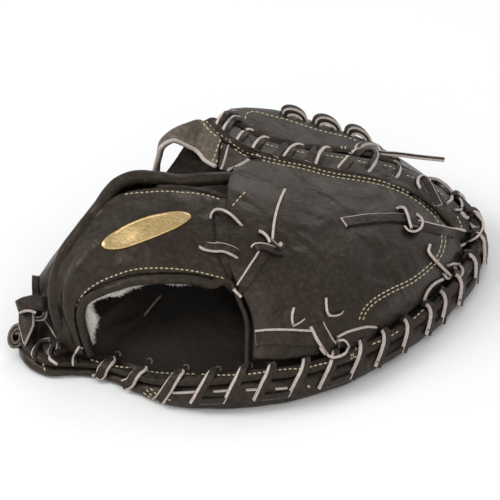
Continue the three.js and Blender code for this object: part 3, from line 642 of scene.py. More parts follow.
def tucked(before, edge, reach=6.5, sink=1.6):
    # a point past the edge of a panel, where the leather runs on under its neighbour
    a, b = Vector(before), Vector(edge)
    way = (b - a).normalized()
    return b + way * reach - Vector((0, 0, sink))


panels = {
    "fingerLeather": {
        "node": "finger_back", "lines": fingerLines,
        "grid": weave([(keepInside(r[0], 9.0), *r[1:], tucked(r[3], r[4])) for r in fingerRows], 76, 52),
    },
    "topStrip": {
        "node": "top_strip", "plump": 0.6,
        "grid": weave([(r[0], keepInside(r[1], 9.0)) for r in stripRows], 110, 10),
    },
    "webLeather": {
        "node": "web_panel",
        "grid": weave([(tucked(r[1], r[0], 4.5, 2.4), *r[:3], keepInside(r[3], 12.5))
                       for r in webRows], 60, 52),
    },
    "thumbLeather": {
        "node": "thumb_back",
        "grid": weave([(*r[:3], keepInside(r[3], 9.0)) for r in thumbRows], 60, 40),
    },
    "wristBelt": {
        "node": "belt", "thick": beltThick, "lines": beltLines, "swell": 0.9,
        "grid": weave(beltRows, 96, 34),
    },
    "crotchBand": {
        "node": "crotch_band", "thick": 3.0, "side": -1, "look": greyLeather, "swell": 0.4,
        "grid": weave(bandRows, 56, 14),
    },
    "crotchTab": {
        "node": "crotch_tab", "thick": 2.2, "side": -1, "look": softLeather, "swell": 0.2,
        "grid": weave(tabRows, 16, 14),
    },
    "crotchFold": {
        "node": "crotch_gusset", "thick": 2.2, "side": -1,
        "grid": weave(foldRows, 24, 22),
    },
}
leathers = [makePanel(name, p["node"], p["grid"], {**usualPanel, **p}) for name, p in panels.items()]
print("leather panels made")


def makeTube(name, path, radius, material, node=None, around=16, ripple=0.05, rippleSize=4.0):
    # round bar along a path in the drawing frame; radius is a function of the way along it
    points, count = [], len(path)
    side = runAt(path, 0).cross(Vector((0.3, -0.8, 0.5))).normalized()
    for i, p in enumerate(path):
        run = runAt(path, i)
        side = (side - run * side.dot(run)).normalized()
        up = side.cross(run).normalized()
        wide = radius(i / (count - 1))
        for k in range(around):
            a = 2 * math.pi * k / around
            spot = p / rippleSize + Vector((math.cos(a), math.sin(a), 0)) * 1.3
            reach = wide * (1 + ripple * noise.noise(spot))
            points.append(p + side * (math.cos(a) * reach) + up * (math.sin(a) * reach))
    faces = ringFaces(count, around)
    first, last = len(points), len(points) + 1
    points += [path[0].copy(), path[-1].copy()]
    for k in range(around):
        k2 = (k + 1) % around
        faces.append((first, k2, k))
        faces.append((last, (count - 1) * around + k, (count - 1) * around + k2))
    thing = addPiece(name, points, faces, material)
    faceOutward(thing)
    if node:
        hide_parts(node)
    return thing


roll = {
    "radius": 4.2,
    "fill": 0.8,
    "path": [(-57.6, -125, 15.6), (-61.4, -126.8, 29), (-64.1, -127.5, 38), (-68.4, -123.8, 50),
             (-69.8, -117, 62), (-68.7, -109.6, 73), (-64.2, -96.2, 84), (-61.1, -80.5, 93),
             (-58.5, -63.8, 100.5), (-51.3, -55.2, 103.5), (-39.1, -47.7, 103), (-24.9, -42.7, 102.5),
             (-14, -34.2, 102), (-5.4, -24.4, 100.6), (2, -17, 98.4)],
}
paddedRoll = makeTube("paddedRoll", evenly(roll["path"], 150),
                      lambda t: roll["radius"] * min(1.0, 0.6 + 12 * min(t, 1 - t)),
                      softLeather, "belt_roll", 28, 0.06, 9.0)

piping = {
    "radius": 3.0,
    "thin": 1.5,  # past the corner of the opening
    "corner": 0.66,
    "away": 3.55,  # from the edge of the leather to the middle of the piping
    "foot": (3.4, -5.6, -9.0),
}


def edgeRun(grid, thick, picks):
    # piping beside a leather edge: places on the edge and their neighbours further in
    normals = gridNormals(grid, 1)
    out = []
    for i, j, i2, j2 in picks:
        away = (grid[i][j] - grid[i2][j2]).normalized()
        out.append(grid[i][j] + away * piping["away"] - normals[i][j] * (thick / 2))
    return out


beltGrid, fingerGrid = panels["wristBelt"]["grid"], panels["fingerLeather"]["grid"]
strapEdge = edgeRun(beltGrid, beltThick, [(i, 0, i, 1) for i in range(0, 84, 3)])
sideEdge = edgeRun(fingerGrid, panelThick, [(0, j, 1, j) for j in range(18, -1, -4)])
sideFoot = sideEdge[-1] + Vector(piping["foot"])


def pipeRadius(t):
    past = min(1.0, max(0.0, (t - piping["corner"]) / 0.06))
    return piping["radius"] + (piping["thin"] - piping["radius"]) * past


mouthPiping = makeTube("mouthPiping", evenly([*strapEdge, *sideEdge, sideFoot], 180), pipeRadius, softLeather,
                       "mouth_binding", 18, 0.05, 2.5)
print("roll and piping made")


# Laces lie on the leather, so they are laid on a tree of everything made so far.
def treeOf(things):
    points, faces = [], []
    for thing in things:
        start = len(points)
        points += [v.co / mm - drawingShift for v in thing.data.vertices]
        faces += [tuple(start + k for k in f.vertices) for f in thing.data.polygons]
    return BVHTree.FromPolygons(points, faces)


leatherTree = treeOf([palmLeather, rimBinding, paddedRoll, mouthPiping, *leathers])


def spotAt(u, v):
    # leather under a pixel of the photograph: its point and the way it faces
    hit, way = leatherTree.ray_cast(pixelSpot(u, v) + towardCamera * 400.0, -towardCamera)[:2]
    return hit, (way if way is None or way.dot(towardCamera) > 0 else -way)


def softened(values, rounds):
    for _ in range(rounds):
        inner = [(a + b * 2 + c) / 4 for a, b, c in zip(values, values[1:], values[2:])]
        values = [values[0], *inner, values[-1]]
    return values


def pixelRun(row, count):
    # even run over the leather through pixels (u, v, lift in mm), with the way the leather faces
    line = through([(r[0], r[1], r[2] if len(r) > 2 else 0.0) for r in row], count)
    found = [spotAt(u, v) for u, v, _ in line]
    known = [i for i, f in enumerate(found) if f[0] is not None]
    spots = []
    for i, (u, v, lift) in enumerate(line):
        hit, way = found[min(known, key=lambda k: abs(k - i))]  # past the outline the nearest leather counts
        spots.append((hit.copy(), way.copy(), lift))
    ways = [w.normalized() for w in softened([s[1] for s in spots], 4)]
    depth = softened([s[0].dot(towardCamera) for s in spots], 3)
    path = []
    for (hit, _, lift), way, deep, (u, v, _) in zip(spots, ways, depth, line):
        deep = max(deep, hit.dot(towardCamera) - 1.0)
        path.append(pixelSpot(u, v) + towardCamera * (deep + lift))
    return path, ways


class LaceParts:
    # points, faces and face materials of one lace piece: 0 is the dark face, 1 the pale cut edge
    def __init__(self):
        self.points, self.faces, self.marks = [], [], []


lace = {
    "wide": 6.0,
    "thick": 1.8,
    "cut": 1.5,  # how much of the pale cut edge shows from above
    "crease": 42.0,
}


def addRibbon(parts, path, ups, wide=None, thick=None, cuts=(1, 0), cut=None, taper=None, ends=1, plain=0):
    # cuts: whether the pale edge shows on the plus side and on the minus side; plain: dark steps at the start
    wide, thick = wide or lace["wide"], thick or lace["thick"]
    cut = lace["cut"] if cut is None else cut
    start, count, k = len(parts.points), len(path), 10
    for i, p in enumerate(path):
        run = runAt(path, i)
        side = run.cross(ups[i]).normalized()
        up = side.cross(run).normalized()
        w = wide / 2 * (taper(i / (count - 1)) if taper else 1.0)
        w *= 1 + 0.04 * noise.noise(p / 5.0)
        h = thick / 2
        a, b = min(cut, w) * cuts[0] + 0.25, min(cut, w) * cuts[1] + 0.25
        section = [(w, -0.8 * h), (w - 0.12, -0.1 * h), (w - 0.8 * a, 0.9 * h), (w - a, h), (b - w, h),
                   (0.8 * b - w, 0.9 * h), (0.12 - w, -0.1 * h), (-w, -0.8 * h), (0.4 - w, -h), (w - 0.4, -h)]
        parts.points += [p + side * s + up * t for s, t in section]
    for i in range(count - 1):
        a = start + i * k
        for j in range(k):
            j2 = (j + 1) % k
            parts.faces.append((a + j, a + j2, a + k + j2, a + k + j))
            pale = (j in (0, 1, 2) and cuts[0]) or (j in (4, 5, 6) and cuts[1])
            parts.marks.append(1 if pale and i >= plain else 0)
    parts.faces.append(tuple(start + j for j in reversed(range(k))))
    parts.faces.append(tuple(start + (count - 1) * k + j for j in range(k)))
    parts.marks += [ends, ends]


def finishLace(name, parts, node=None, looks=None):
    thing = addPiece(name, parts.points, parts.faces, looks or [laceFace, rawEdge], parts.marks)
    faceOutward(thing, lace["crease"])
    if node:
        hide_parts(node)
    return thing


def laceAlong(name, rows, count, thick, cut, node=None, looks=None):
    # one piece of ribbons over the leather; each row has its run of pixels, width and shown cut edges
    parts = LaceParts()
    for run, wide, cuts in rows:
        path, ways = pixelRun(run, count)
        addRibbon(parts, path, ways, wide, thick, cuts, cut)
    return finishLace(name, parts, node, looks)


# Over the rim: up gives the holes inside the rim, low where the arms end outside, out a wider reach.
rimStaples = [
    ((0.0375, 0.0480), (0.0345, 0.0440), 0.9), ((0.0660, 0.0775), (0.0610, 0.0710)),
    ((0.1020, 0.1140), (0.0930, 0.1070)), ((0.1340, 0.1570), (0.1240, 0.1470)),
    ((0.1795, 0.2080), (0.1685, 0.1935)), ((0.2330, 0.2600), (0.2175, 0.2430)),
    ((0.2830, 0.3065), (0.2680, 0.2955)), ((0.3340, 0.3570), (0.3250, 0.3445)),
    ((0.3805, 0.4050), (0.3715, 0.4020)), ((0.4300, 0.4560), (0.4270, 0.4540)),
    ((0.4820, 0.5060), (0.4830, 0.5090)), ((0.5340, 0.5600), (0.5370, 0.5630)),
    ((0.5880, 0.6160), (0.5910, 0.6190)), ((0.6440, 0.6720), (0.6470, 0.6750)),
    ((0.7000, 0.7280), (0.7030, 0.7310)), ((0.7560, 0.7840), (0.7590, 0.7870)),
    ((0.8120, 0.8400), (0.8150, 0.8430)), ((0.8680, 0.8960), (0.8710, 0.8990)),
]
armRows = [
    (0.00, 6.8, 2.6), (0.20, 5.6, 2.2), (0.40, 2.8, 1.6), (0.58, 0.1, -1.2), (0.74, -0.9, -6.0),
    (1.00, -1.6, -12.0),
]


arm = {
    "wide": 5.6,
    "cut": 1.25,
    "steps": 20,
    "plain": 5,  # steps inside the hole, without a pale edge
    "bulge": 0.0042,  # share of the rim that the middle swings aside
    "lean": 0.0022,
    "footShare": 0.42,  # height of the foot as a share of the padded edge
    "broad": 7.2,  # the thongs at the heel
    "broadCut": 0.8,
    "broadOnes": 3,
}


def rimArm(parts, up, low, out, broad=False):
    spots = []
    for t, inset, over in armRows:
        share = up + (low - up) * t + arm["bulge"] * math.sin(math.pi * t ** 0.9) - arm["lean"] * t * t
        high = rimSpot(share).z
        top, foot = high + rim["gap"] + 2 * rimHalf(share), high * arm["footShare"]
        z = max(top + over, foot + 2) if t < 1 else max(foot, 4.8)
        spots.append(rimPoint(share, inset - (out if t > 0.3 else 0), z, False))
    first = spots[0] + Vector((0, 0, -2.4)) + (spots[0] - spots[1]) * 0.5
    last = arm["steps"] - 1
    path = through([first, *spots], last + 1)
    ups = []
    for i in range(last + 1):
        along = rimRun(up + (low - up) * i / last)
        way = runAt(path, i).cross(along).normalized()
        outward = Vector((along.y, -along.x, 0.35))
        ups.append(way if way.dot(outward) > 0 else -way)
    side = (path[11] - path[9]).cross(ups[10])
    cuts = (1, 0) if side.dot(rimRun((up + low) / 2)) < 0 else (0, 1)
    if broad:
        addRibbon(parts, path, ups, arm["broad"], None, (1, 1), arm["broadCut"], None, 0, arm["plain"])
    else:
        addRibbon(parts, path, ups, arm["wide"], None, cuts, arm["cut"], None, 0, arm["plain"])


def rimLow(parts, start, end):
    shares = [start + (end - start) * i / 7 for i in range(8)]
    foot = [max(rimSpot(s).z * arm["footShare"], 4.2) + 2.2 for s in shares]
    path = [rimPoint(s - arm["lean"], -1.2, z, False) for s, z in zip(shares, foot)]
    ups = [Vector((rimRun(s).y, -rimRun(s).x, 0.0)).normalized() for s in shares]
    addRibbon(parts, path, ups, 4.8, None, (1, 0), 0.5, None, 0)


for number, (up, low, *more) in enumerate(rimStaples, 1):
    out = more[0] if more else 0
    parts = LaceParts()
    if number <= arm["broadOnes"]:
        rimArm(parts, sum(up) / 2, sum(low) / 2 - 0.0015, out, True)
    else:
        rimArm(parts, up[0], low[0], out)
        rimArm(parts, up[1], low[1], out)
        rimLow(parts, low[0], low[1])
    finishLace(f"rimLace{number:02d}", parts, f"rim_lace_{number:02d}")
print("rim laced")


def flat(run, wide, cuts, cut=None, thick=None, tilt=0.0, leaf=False):
    # ribbon that lies on the leather; cuts gives the pale edges that show, tilt turns it to the camera
    return {"run": run, "wide": wide, "cuts": cuts, "cut": cut, "thick": thick, "tilt": tilt, "leaf": leaf}


def stand(run, wide, thick):
    # ribbon on its edge
    return {"run": run, "wide": wide, "cuts": (1, 1), "cut": 0.5, "thick": thick, "stand": True}


def edged(run, wide, cut, way):
    # ribbon whose run is its pale cut edge, on the plus or minus side, and not its middle
    cuts = (1, 0) if way > 0 else (0, 1)
    return {"run": run, "wide": wide, "cuts": cuts, "cut": cut, "thick": None, "edge": way}


# Ties on the back: name, node and ribbons; runs are in pixels, with the lift above the leather in mm.
tieRows = [
    ("strapTie", "tie_strap", [
        flat([(222, 243, 1.4), (222.5, 236, 1.5), (222, 226, 1.5), (221, 217, 1.2)], 8.6, (0, 0)),
        stand([(210.4, 218.5, -1.0), (211.5, 213.8, 1.6), (214.5, 210.6, 2.8), (218.5, 209.7, 3.2),
               (226, 211.8, 3.2), (233, 216.8, 2.6), (239.5, 223.6, 0.2), (241.5, 226, -2.0)], 3.6, 1.7),
        flat([(223, 253, 1.0), (227, 262, 1.2), (231, 272, 1.2), (235, 282, 1.2), (239.5, 291, 1.4)],
             6.8, (0, 0)),
        flat([(202, 244.5, -1.4), (206, 246.0, 2.2), (213, 247.2, 4.0), (222, 247.2, 4.4),
              (230, 249.5, 3.8), (236.5, 253, 1.6), (238.5, 255, -1.2)], 6.4, (1, 1), cut=0.7),
    ]),
    ("backTie", "tie_back", [
        flat([(264.5, 250, 1.0), (261, 257, 1.0), (255, 266, 1.0), (248.5, 276, 1.0), (242.5, 285, 1.1),
              (237.5, 293, 1.2)], 7.2, (1, 0), cut=0.9),
        stand([(284.3, 190.6, 1.6), (280.5, 199, 1.8), (277.4, 207.6, 1.9), (275.4, 215, 2.0),
               (274, 222, 2.1), (273, 230, 2.4), (272.2, 240, 2.6)], 3.6, 1.7),
        stand([(258.6, 231.2, 2.0), (262, 232.6, 2.2), (265.6, 235.4, 2.4), (268.4, 239.4, 2.6),
               (269.6, 243, 2.0)], 3.6, 1.9),
        flat([(253.0, 250, -1.2), (256, 246.6, 2.0), (262, 246.0, 3.6), (269, 247.6, 4.2),
              (276, 250.6, 3.2), (280.6, 252.4, 0.6), (282.5, 253.2, -1.4)], 5.6, (0, 1), cut=1.2),
        flat([(268.5, 240.5, 1.0), (272, 241.5, 3.4), (276.5, 245.5, 4.8), (280.5, 247.5, 4.0),
              (282, 244.6, 3.0), (280.2, 242.6, 2.0)], 3.4, (0, 1), cut=1.3),
    ]),
    ("lowTie", "tie_low", [
        flat([(255.5, 337.5, 0.9), (268, 336.5, 0.9), (282, 336.3, 0.9), (296, 336.8, 1.0),
              (310, 337.5, 1.0), (322, 338.5, 1.0)], 10.4, (0, 1), cut=1.1),
        flat([(316.5, 324, 0.4), (320, 331, 2.6), (324.5, 339, 4.0), (329.5, 346.5, 4.6),
              (334.5, 351, 3.8)], 10.6, (1, 1), cut=1.2),
        stand([(319.5, 347, 4.0), (323.5, 352.4, 4.8), (329, 356.4, 4.9), (335, 357.2, 4.7),
               (341, 355.8, 4.4), (345.6, 351.6, 4.0), (347.2, 346.4, 3.6), (345.2, 341.6, 3.4),
               (341.4, 339.6, 3.2), (337.2, 340.4, 3.0)], 4.6, 1.7),
        flat([(338, 342, 1.2), (346, 339.5, 1.6), (356, 336.5, 1.5), (366, 334, 1.4), (376, 332.4, 1.3),
              (385, 331.6, 1.2), (392.4, 331.8, 1.1)], 10.8, (0, 1), cut=0.9, leaf=True),
    ]),
    ("tipTie", "tie_tip", [
        flat([(479, 237, 1.6), (470, 236, 3.0), (456, 233.2, 3.4), (440, 230, 3.2), (428, 227.2, 2.8),
              (418, 225, 2.4)], 7.4, (1, 0), cut=1.0, tilt=2.0),
        flat([(343.5, 222, 1.0), (356, 220, 1.0), (370, 218.2, 1.0), (386, 217.4, 1.1), (400, 217.6, 1.4),
              (410, 219.5, 1.8)], 7.8, (0, 1), cut=1.0),
        stand([(396.5, 208.5, 0.2), (400.4, 207.6, 2.0), (404, 209, 3.6), (406.8, 214.6, 4.6),
               (409, 222, 4.6), (411, 229, 3.2)], 4.0, 1.7),
        flat([(404, 210.5, 1.8), (409, 213.5, 3.0), (413, 219, 3.8), (414.5, 226, 2.6)], 6.5, (0, 0)),
        stand([(416.4, 214.8, 1.6), (420.6, 218.6, 3.0), (421.8, 224, 4.0), (419.6, 229.4, 4.2),
               (413.8, 232.2, 4.0), (407.6, 230.8, 3.0), (404.6, 227.6, 1.6)], 4.0, 1.7),
    ]),
    ("sideTie", "tie_side", [
        stand([(429.2, 245.6, 0.6), (428.2, 251.4, 1.6), (433, 258.4, 1.8), (439.6, 265.4, 1.8),
               (445.6, 271.4, 2.0), (449.6, 275.4, 2.2)], 3.6, 1.9),
        stand([(447.6, 265.4, 0.8), (453, 263.6, 2.6), (458.6, 265, 3.6), (462.4, 269.4, 4.2),
               (463, 274, 3.6), (460.4, 278.6, 1.4)], 4.0, 1.8),
        stand([(443.4, 274, 1.6), (446.4, 278, 3.2), (450.6, 278, 3.8), (454, 273.6, 3.8),
               (455.2, 267.6, 2.2)], 4.0, 1.8),
        stand([(441.4, 279.4, 1.4), (436.4, 281.8, 2.0), (431.4, 285.6, 2.0), (426.4, 292.4, 2.0),
               (423.6, 299.6, 2.0), (422, 306, 1.6)], 3.6, 1.8),
    ]),
    ("upperTie", "tie_upper", [
        flat([(424, 178, 1.8), (427.4, 184, 2.0), (431.6, 191.6, 2.0), (438.4, 205.4, 1.8)],
             7.0, (1, 1), cut=0.7, tilt=1.5),
        stand([(430.4, 182.4, 0.6), (427.4, 177.4, 2.2), (422.4, 176, 3.2), (418.6, 178.6, 3.2),
               (418, 183.6, 2.6), (420.4, 188.4, 1.8)], 3.8, 1.8),
        stand([(431.8, 178.2, 0.4), (438.6, 179.6, 2.2), (445, 183.6, 3.2), (450.4, 188.4, 3.4),
               (453.8, 194, 3.0), (452, 199.4, 2.0), (447.6, 203.4, 0.4)], 3.8, 1.9),
        stand([(455.4, 210, 0.6), (461.6, 209.8, 2.0), (463.8, 205.6, 2.2), (461.4, 199.6, 2.0),
               (456, 194.4, 1.2)], 3.4, 1.6),
        flat([(463.2, 212, 1.4), (467.6, 217, 1.8), (472, 221.8, 1.8), (477.6, 227.6, 1.8)],
             4.2, (1, 0), cut=1.5),
        stand([(473, 211, 1.2), (479, 216.4, 2.0), (483.2, 223, 2.4), (483, 230, 2.6), (478.2, 237, 2.6),
               (471, 242, 2.4), (461.8, 245.6, 0.8)], 3.6, 1.6),
    ]),
    ("leftPass", "pass_left", [
        stand([(293.4, 308, -0.6), (292, 314, 0.8), (291.8, 319.8, 0.8), (293, 324.4, -0.4)], 2.6, 1.6),
        flat([(292.6, 325.2, 0.6), (298, 322.4, 0.9), (304.4, 318.2, -0.4)],
             2.0, (1, 0), cut=1.6, thick=1.4),
    ]),
    ("rightPass", "pass_right", [
        stand([(325.6, 298.5, -0.6), (325.8, 305, 0.8), (327.2, 312.6, 0.8), (329, 314.4, 0.2)],
              2.6, 1.6),
        flat([(327.4, 314.4, 0.4), (334, 315, 1.0), (339.4, 313.6, 0.9), (343, 310.6, -0.4)],
             2.0, (1, 0), cut=1.6, thick=1.4),
    ]),
]


def leafShape(t):
    # width of a pointed tail along its length
    return max(0.06, min(1.0, 0.75 + 1.2 * t) * min(1.0, (1.02 - t) ** 0.62 * 1.5))


def makeTie(name, node, ribbons):
    parts = LaceParts()
    for r in ribbons:
        path, ways = pixelRun(r["run"], max(10, 5 * len(r["run"])))
        if r.get("stand"):
            facing = [(way * 0.5 + towardCamera).normalized() for way in ways]
            ups = [runAt(path, i).cross(f).normalized() for i, f in enumerate(facing)]
        else:
            ups = [(way + towardCamera * r["tilt"]).normalized() if r["tilt"] else way for way in ways]
        taper = leafShape if r.get("leaf") else None
        addRibbon(parts, path, ups, r["wide"], r["thick"], r["cuts"], r["cut"], taper)
    finishLace(name, parts, node)


for row in tieRows:
    makeTie(*row)
print("ties made")


# Laces over the gap between strip and web.
loopRows = [
    ("stripLace1", "strip_lace_1", [
        edged([(215.6, 124.5, -0.6), (218.4, 118.6, 1.8), (223, 112.6, 3.0), (229, 110.2, 2.6),
               (235.6, 110.6, 0.6)], 5.0, 1.5, -1),
        edged([(221.4, 133.4, -1.0), (224, 126.6, 2.4), (229.4, 118.6, 4.0), (234, 115.6, 3.4),
               (239.6, 116.4, 0.4)], 5.2, 1.6, -1),
    ]),
    ("stripLace2", "strip_lace_2", [
        edged([(235.4, 142, -1.0), (238, 136.8, 2.2), (242.6, 131.2, 3.8), (247.6, 128.8, 3.2),
               (253, 129.6, 0.4)], 5.2, 1.6, -1),
    ]),
    ("stripLace3", "strip_lace_3", [
        edged([(251.4, 150, -1.0), (254, 144.6, 2.2), (258.8, 138.8, 3.8), (263.4, 136.4, 3.2),
               (268.6, 137.2, 0.4)], 5.2, 1.6, -1),
    ]),
    ("stripLace4", "strip_lace_4", [
        flat([(275.4, 157, 0.4), (279.4, 150.8, 2.0), (284.6, 146.4, 2.8), (290.4, 144.8, 2.2),
              (295.6, 146, -0.8)], 4.8, (0, 0)),
        edged([(282, 158.4, -1.0), (285.4, 152.6, 2.4), (290.8, 146.6, 4.0), (296.6, 143.6, 3.2),
               (303, 144.2, 0.4)], 5.4, 1.7, -1),
    ]),
    ("stripLace5", "strip_lace_5", [
        flat([(308, 162, 0.4), (311, 155.6, 2.0), (314.4, 150.6, 2.8), (318.8, 148, 2.2), (323, 149, -0.8)],
             4.8, (0, 0)),
        edged([(314.8, 165, -1.0), (317, 158.4, 2.4), (320.4, 151, 4.0), (324.6, 146.8, 3.2),
               (329.4, 146.6, 0.4)], 5.2, 1.7, -1),
    ]),
    ("stripLace6", "strip_lace_6", [
        edged([(337, 168, -1.0), (341.6, 162.4, 2.0), (347.6, 155.8, 3.6), (353, 150.6, 3.4),
               (359.4, 146.8, 0.6)], 6.0, 1.3, -1),
    ]),
    ("stripLace7", "strip_lace_7", [
        edged([(368.4, 173, -1.0), (372.4, 167.6, 2.0), (376.6, 161.2, 3.2), (378.8, 154, 2.4),
               (377.4, 150.6, 0.2)], 4.6, 1.7, 1),
    ]),
    ("stripLace8", "strip_lace_8", [
        edged([(396.6, 178.6, -1.0), (400, 173, 2.0), (401.4, 167.4, 3.2), (398.6, 162.6, 2.4),
               (394.4, 160.4, 0.2)], 4.4, 1.7, 1),
    ]),
]


def makeLoops(name, node, ribbons):
    parts = LaceParts()
    for r in ribbons:
        path, ways = pixelRun(r["run"], 24)
        facing = [(w * 0.8 + towardCamera * 0.4).normalized() for w in ways]
        if "edge" in r:
            inset = r["edge"] * (r["wide"] - r["cut"]) / 2
            path = [p - runAt(path, i).cross(facing[i]).normalized() * inset for i, p in enumerate(path)]
        addRibbon(parts, path, facing, r["wide"], r["thick"], r["cuts"], r["cut"])
    finishLace(name, parts, node)


for row in loopRows:
    makeLoops(*row)

# Hoops on the ridge: foot on the web, foot towards the fingers, height.
hoopRows = [
    ((-19.4, 74.6, 92.2), (-7.4, 85, 85.4), 7.2),
    ((-3.4, 88, 84), (7.4, 100.8, 73.4), 8.2),
    ((10.6, 102.8, 71.6), (21, 116, 61.2), 8.6),
]
# Each hoop holds three laces: width, thickness, shown cut edges, shift aside, how much it is smaller.
hoopLaces = [(5.0, 1.5, (1, 1), 0.0, 0.2), (4.6, 1.9, (0, 0), 1.0, 2.2), (3.4, 1.5, (1, 1), 3.0, 3.4)]


def footOn(point, sink=0.8):
    # nearest place on the leather, a little way in
    near, way = leatherTree.find_nearest(Vector(point))[:2]
    way = way if way.z > 0 else -way
    return near - way * sink


def makeHoop(number, start, end, high):
    parts = LaceParts()
    for wide, thick, cuts, aside, smaller in hoopLaces:
        a, b = footOn(start), footOn(end)
        side = (b - a).normalized()
        a, b = a + side * smaller, b - side * smaller
        path, ups = [], []
        for k in range(22):
            turned = math.pi * k / 21
            p = a.lerp(b, (1 - math.cos(turned)) / 2) + Vector((aside * 0.5, -aside * 0.75, 0))
            p.z += math.sin(turned) ** 0.8 * (high - smaller * 0.9)
            path.append(p)
            ups.append(side * -math.cos(turned) + Vector((0, 0, max(math.sin(turned), 0.05))))
        addRibbon(parts, path, ups, wide, thick, cuts, 0.2)
    finishLace(f"ridgeHoop{number}", parts, f"ridge_hoop_{number}")


for number, row in enumerate(hoopRows, 1):
    makeHoop(number, *row)

# The ridge tie, and its free end past the outline.
ridgeRows = [
    flat([(357.4, 149.4, 0.4), (360, 145, 2.0), (366, 142.6, 3.4), (373, 142.8, 3.4), (379.6, 146, 2.4),
          (382.6, 151.4, 0.6)], 4.4, (1, 1), 0.9),
    flat([(356.6, 153, 0.6), (362, 149.4, 2.0), (369, 148.4, 2.4), (375, 151.4, 1.6), (379, 156, 0.4)],
         4.0, (0, 1), 1.0),
    flat([(381, 148, 0.8), (386, 152.6, 1.6), (391, 156.4, 1.8), (397, 157.4, 1.2), (402, 161.4, 0.4)],
         3.6, (0, 1), 1.2),
]
parts = LaceParts()
for r in ridgeRows:
    path, ways = pixelRun(r["run"], 26)
    addRibbon(parts, path, ways, r["wide"], 1.7, r["cuts"], r["cut"])
finishLace("ridgeTie", parts, "ridge_tie")

freeEnd = {
    "path": [(35, 99, 66), (40, 102.2, 65), (47, 106, 64.4), (58, 111.5, 63.0), (72, 118, 62.0)],
    "facing": (0.15, -0.55, 0.8),
    "wide": 3.4,
    "thick": 1.5,
    "cut": 0.7,
}
freePath = evenly(freeEnd["path"], 30)
parts = LaceParts()
addRibbon(parts, freePath, [Vector(freeEnd["facing"])] * 30, freeEnd["wide"], freeEnd["thick"], (1, 1),
          freeEnd["cut"])
looseLace = finishLace("looseLace", parts)


# Shares of a step in the picture plane, rounded, for points whose height is known.
plane = {"up": 0.848, "back": 0.53, "along": 0.866, "aside": 0.5}


def atHeight(u, v, z):
    # point at a height above the floor under a pixel of the photograph
    across, lift = stepsTo(u, v)
    depth = (lift - plane["up"] * z) / plane["back"]
    return Vector((plane["along"] * across - plane["aside"] * depth,
                   plane["aside"] * across + plane["along"] * depth, z))


# Heel tie at the far corner: pixel and height in mm along each thong, width, shown cut edges.
heelRows = [
    ([(36.2, 300, 37), (36.4, 292, 41), (36.2, 284, 46.5), (36.4, 275.4, 52)], 4.7, (0, 0)),
    ([(27, 306, 30), (26.6, 315, 27.5), (26.8, 325, 23.5), (26, 335, 19.4), (25, 345.6, 15.6)], 10.4, (1, 1)),
    ([(49, 305, 37), (42, 303, 39), (34, 302.4, 38), (26, 304, 35), (20.6, 306.4, 32), (19, 308, 28)],
     9.4, (0, 0)),
    ([(20.4, 312.6, 30), (25, 310.8, 33.4), (31, 310.8, 35.4), (36.6, 312.6, 35)], 1.6, (1, 1)),
    ([(46, 310, 34), (45.4, 315, 31), (43, 318, 27.5), (36, 318.6, 26)], 3.0, (1, 1)),
]
pointedThong = 1  # the one that narrows to a point over its second half


def pointed(t):
    return max(0.06, min(1.0, (1.0 - t) / 0.5) ** 0.8)


parts = LaceParts()
facing = (towardCamera - cameraRight * 0.35).normalized()
for number, (row, wide, cuts) in enumerate(heelRows):
    path = through([atHeight(*p) for p in row], 24)
    addRibbon(parts, path, [facing] * 24, wide, 1.8, cuts, 0.5, pointed if number == pointedThong else None)
finishLace("heelTie", parts, "heel_tie")

# Short laces at the heel corner: pixels and lift, width, shown cut edges.
cornerRows = [
    ([(46, 318, 1.6), (51, 324, 1.8), (56, 332, 1.6), (60, 340, 1.4), (59, 349, 0.9)], 4.2, (1, 0)),
    ([(50, 339.4, 1.0), (42, 341, 1.6), (36.4, 347.4, 1.8), (34, 354, 1.6), (37, 360, 0.6)], 3.4, (1, 0)),
    ([(53, 345, 1.0), (50.4, 351, 1.7), (52, 358, 1.6), (59, 362.6, 0.5)], 3.4, (1, 0)),
    ([(81.6, 347, 0.8), (77.6, 353, 1.7), (75.4, 358, 1.7), (75.2, 365, 0.5)], 3.4, (1, 0)),
]
laceAlong("cornerLaces", cornerRows, 20, 1.5, 0.9)

# Rolled leather end beside the heel: a wound strip, seen from its end.
curl = {
    "centre": (20.4, 336.6, 13.2),  # pixel and height
    "turns": 2.2,
    "start": 0.9,  # mm, radius at the middle
    "pitch": 2.2,
    "thick": 1.5,
    "long": 15.0,
    "tall": 1.3,
    "steps": 44,
    "rings": 7,
}


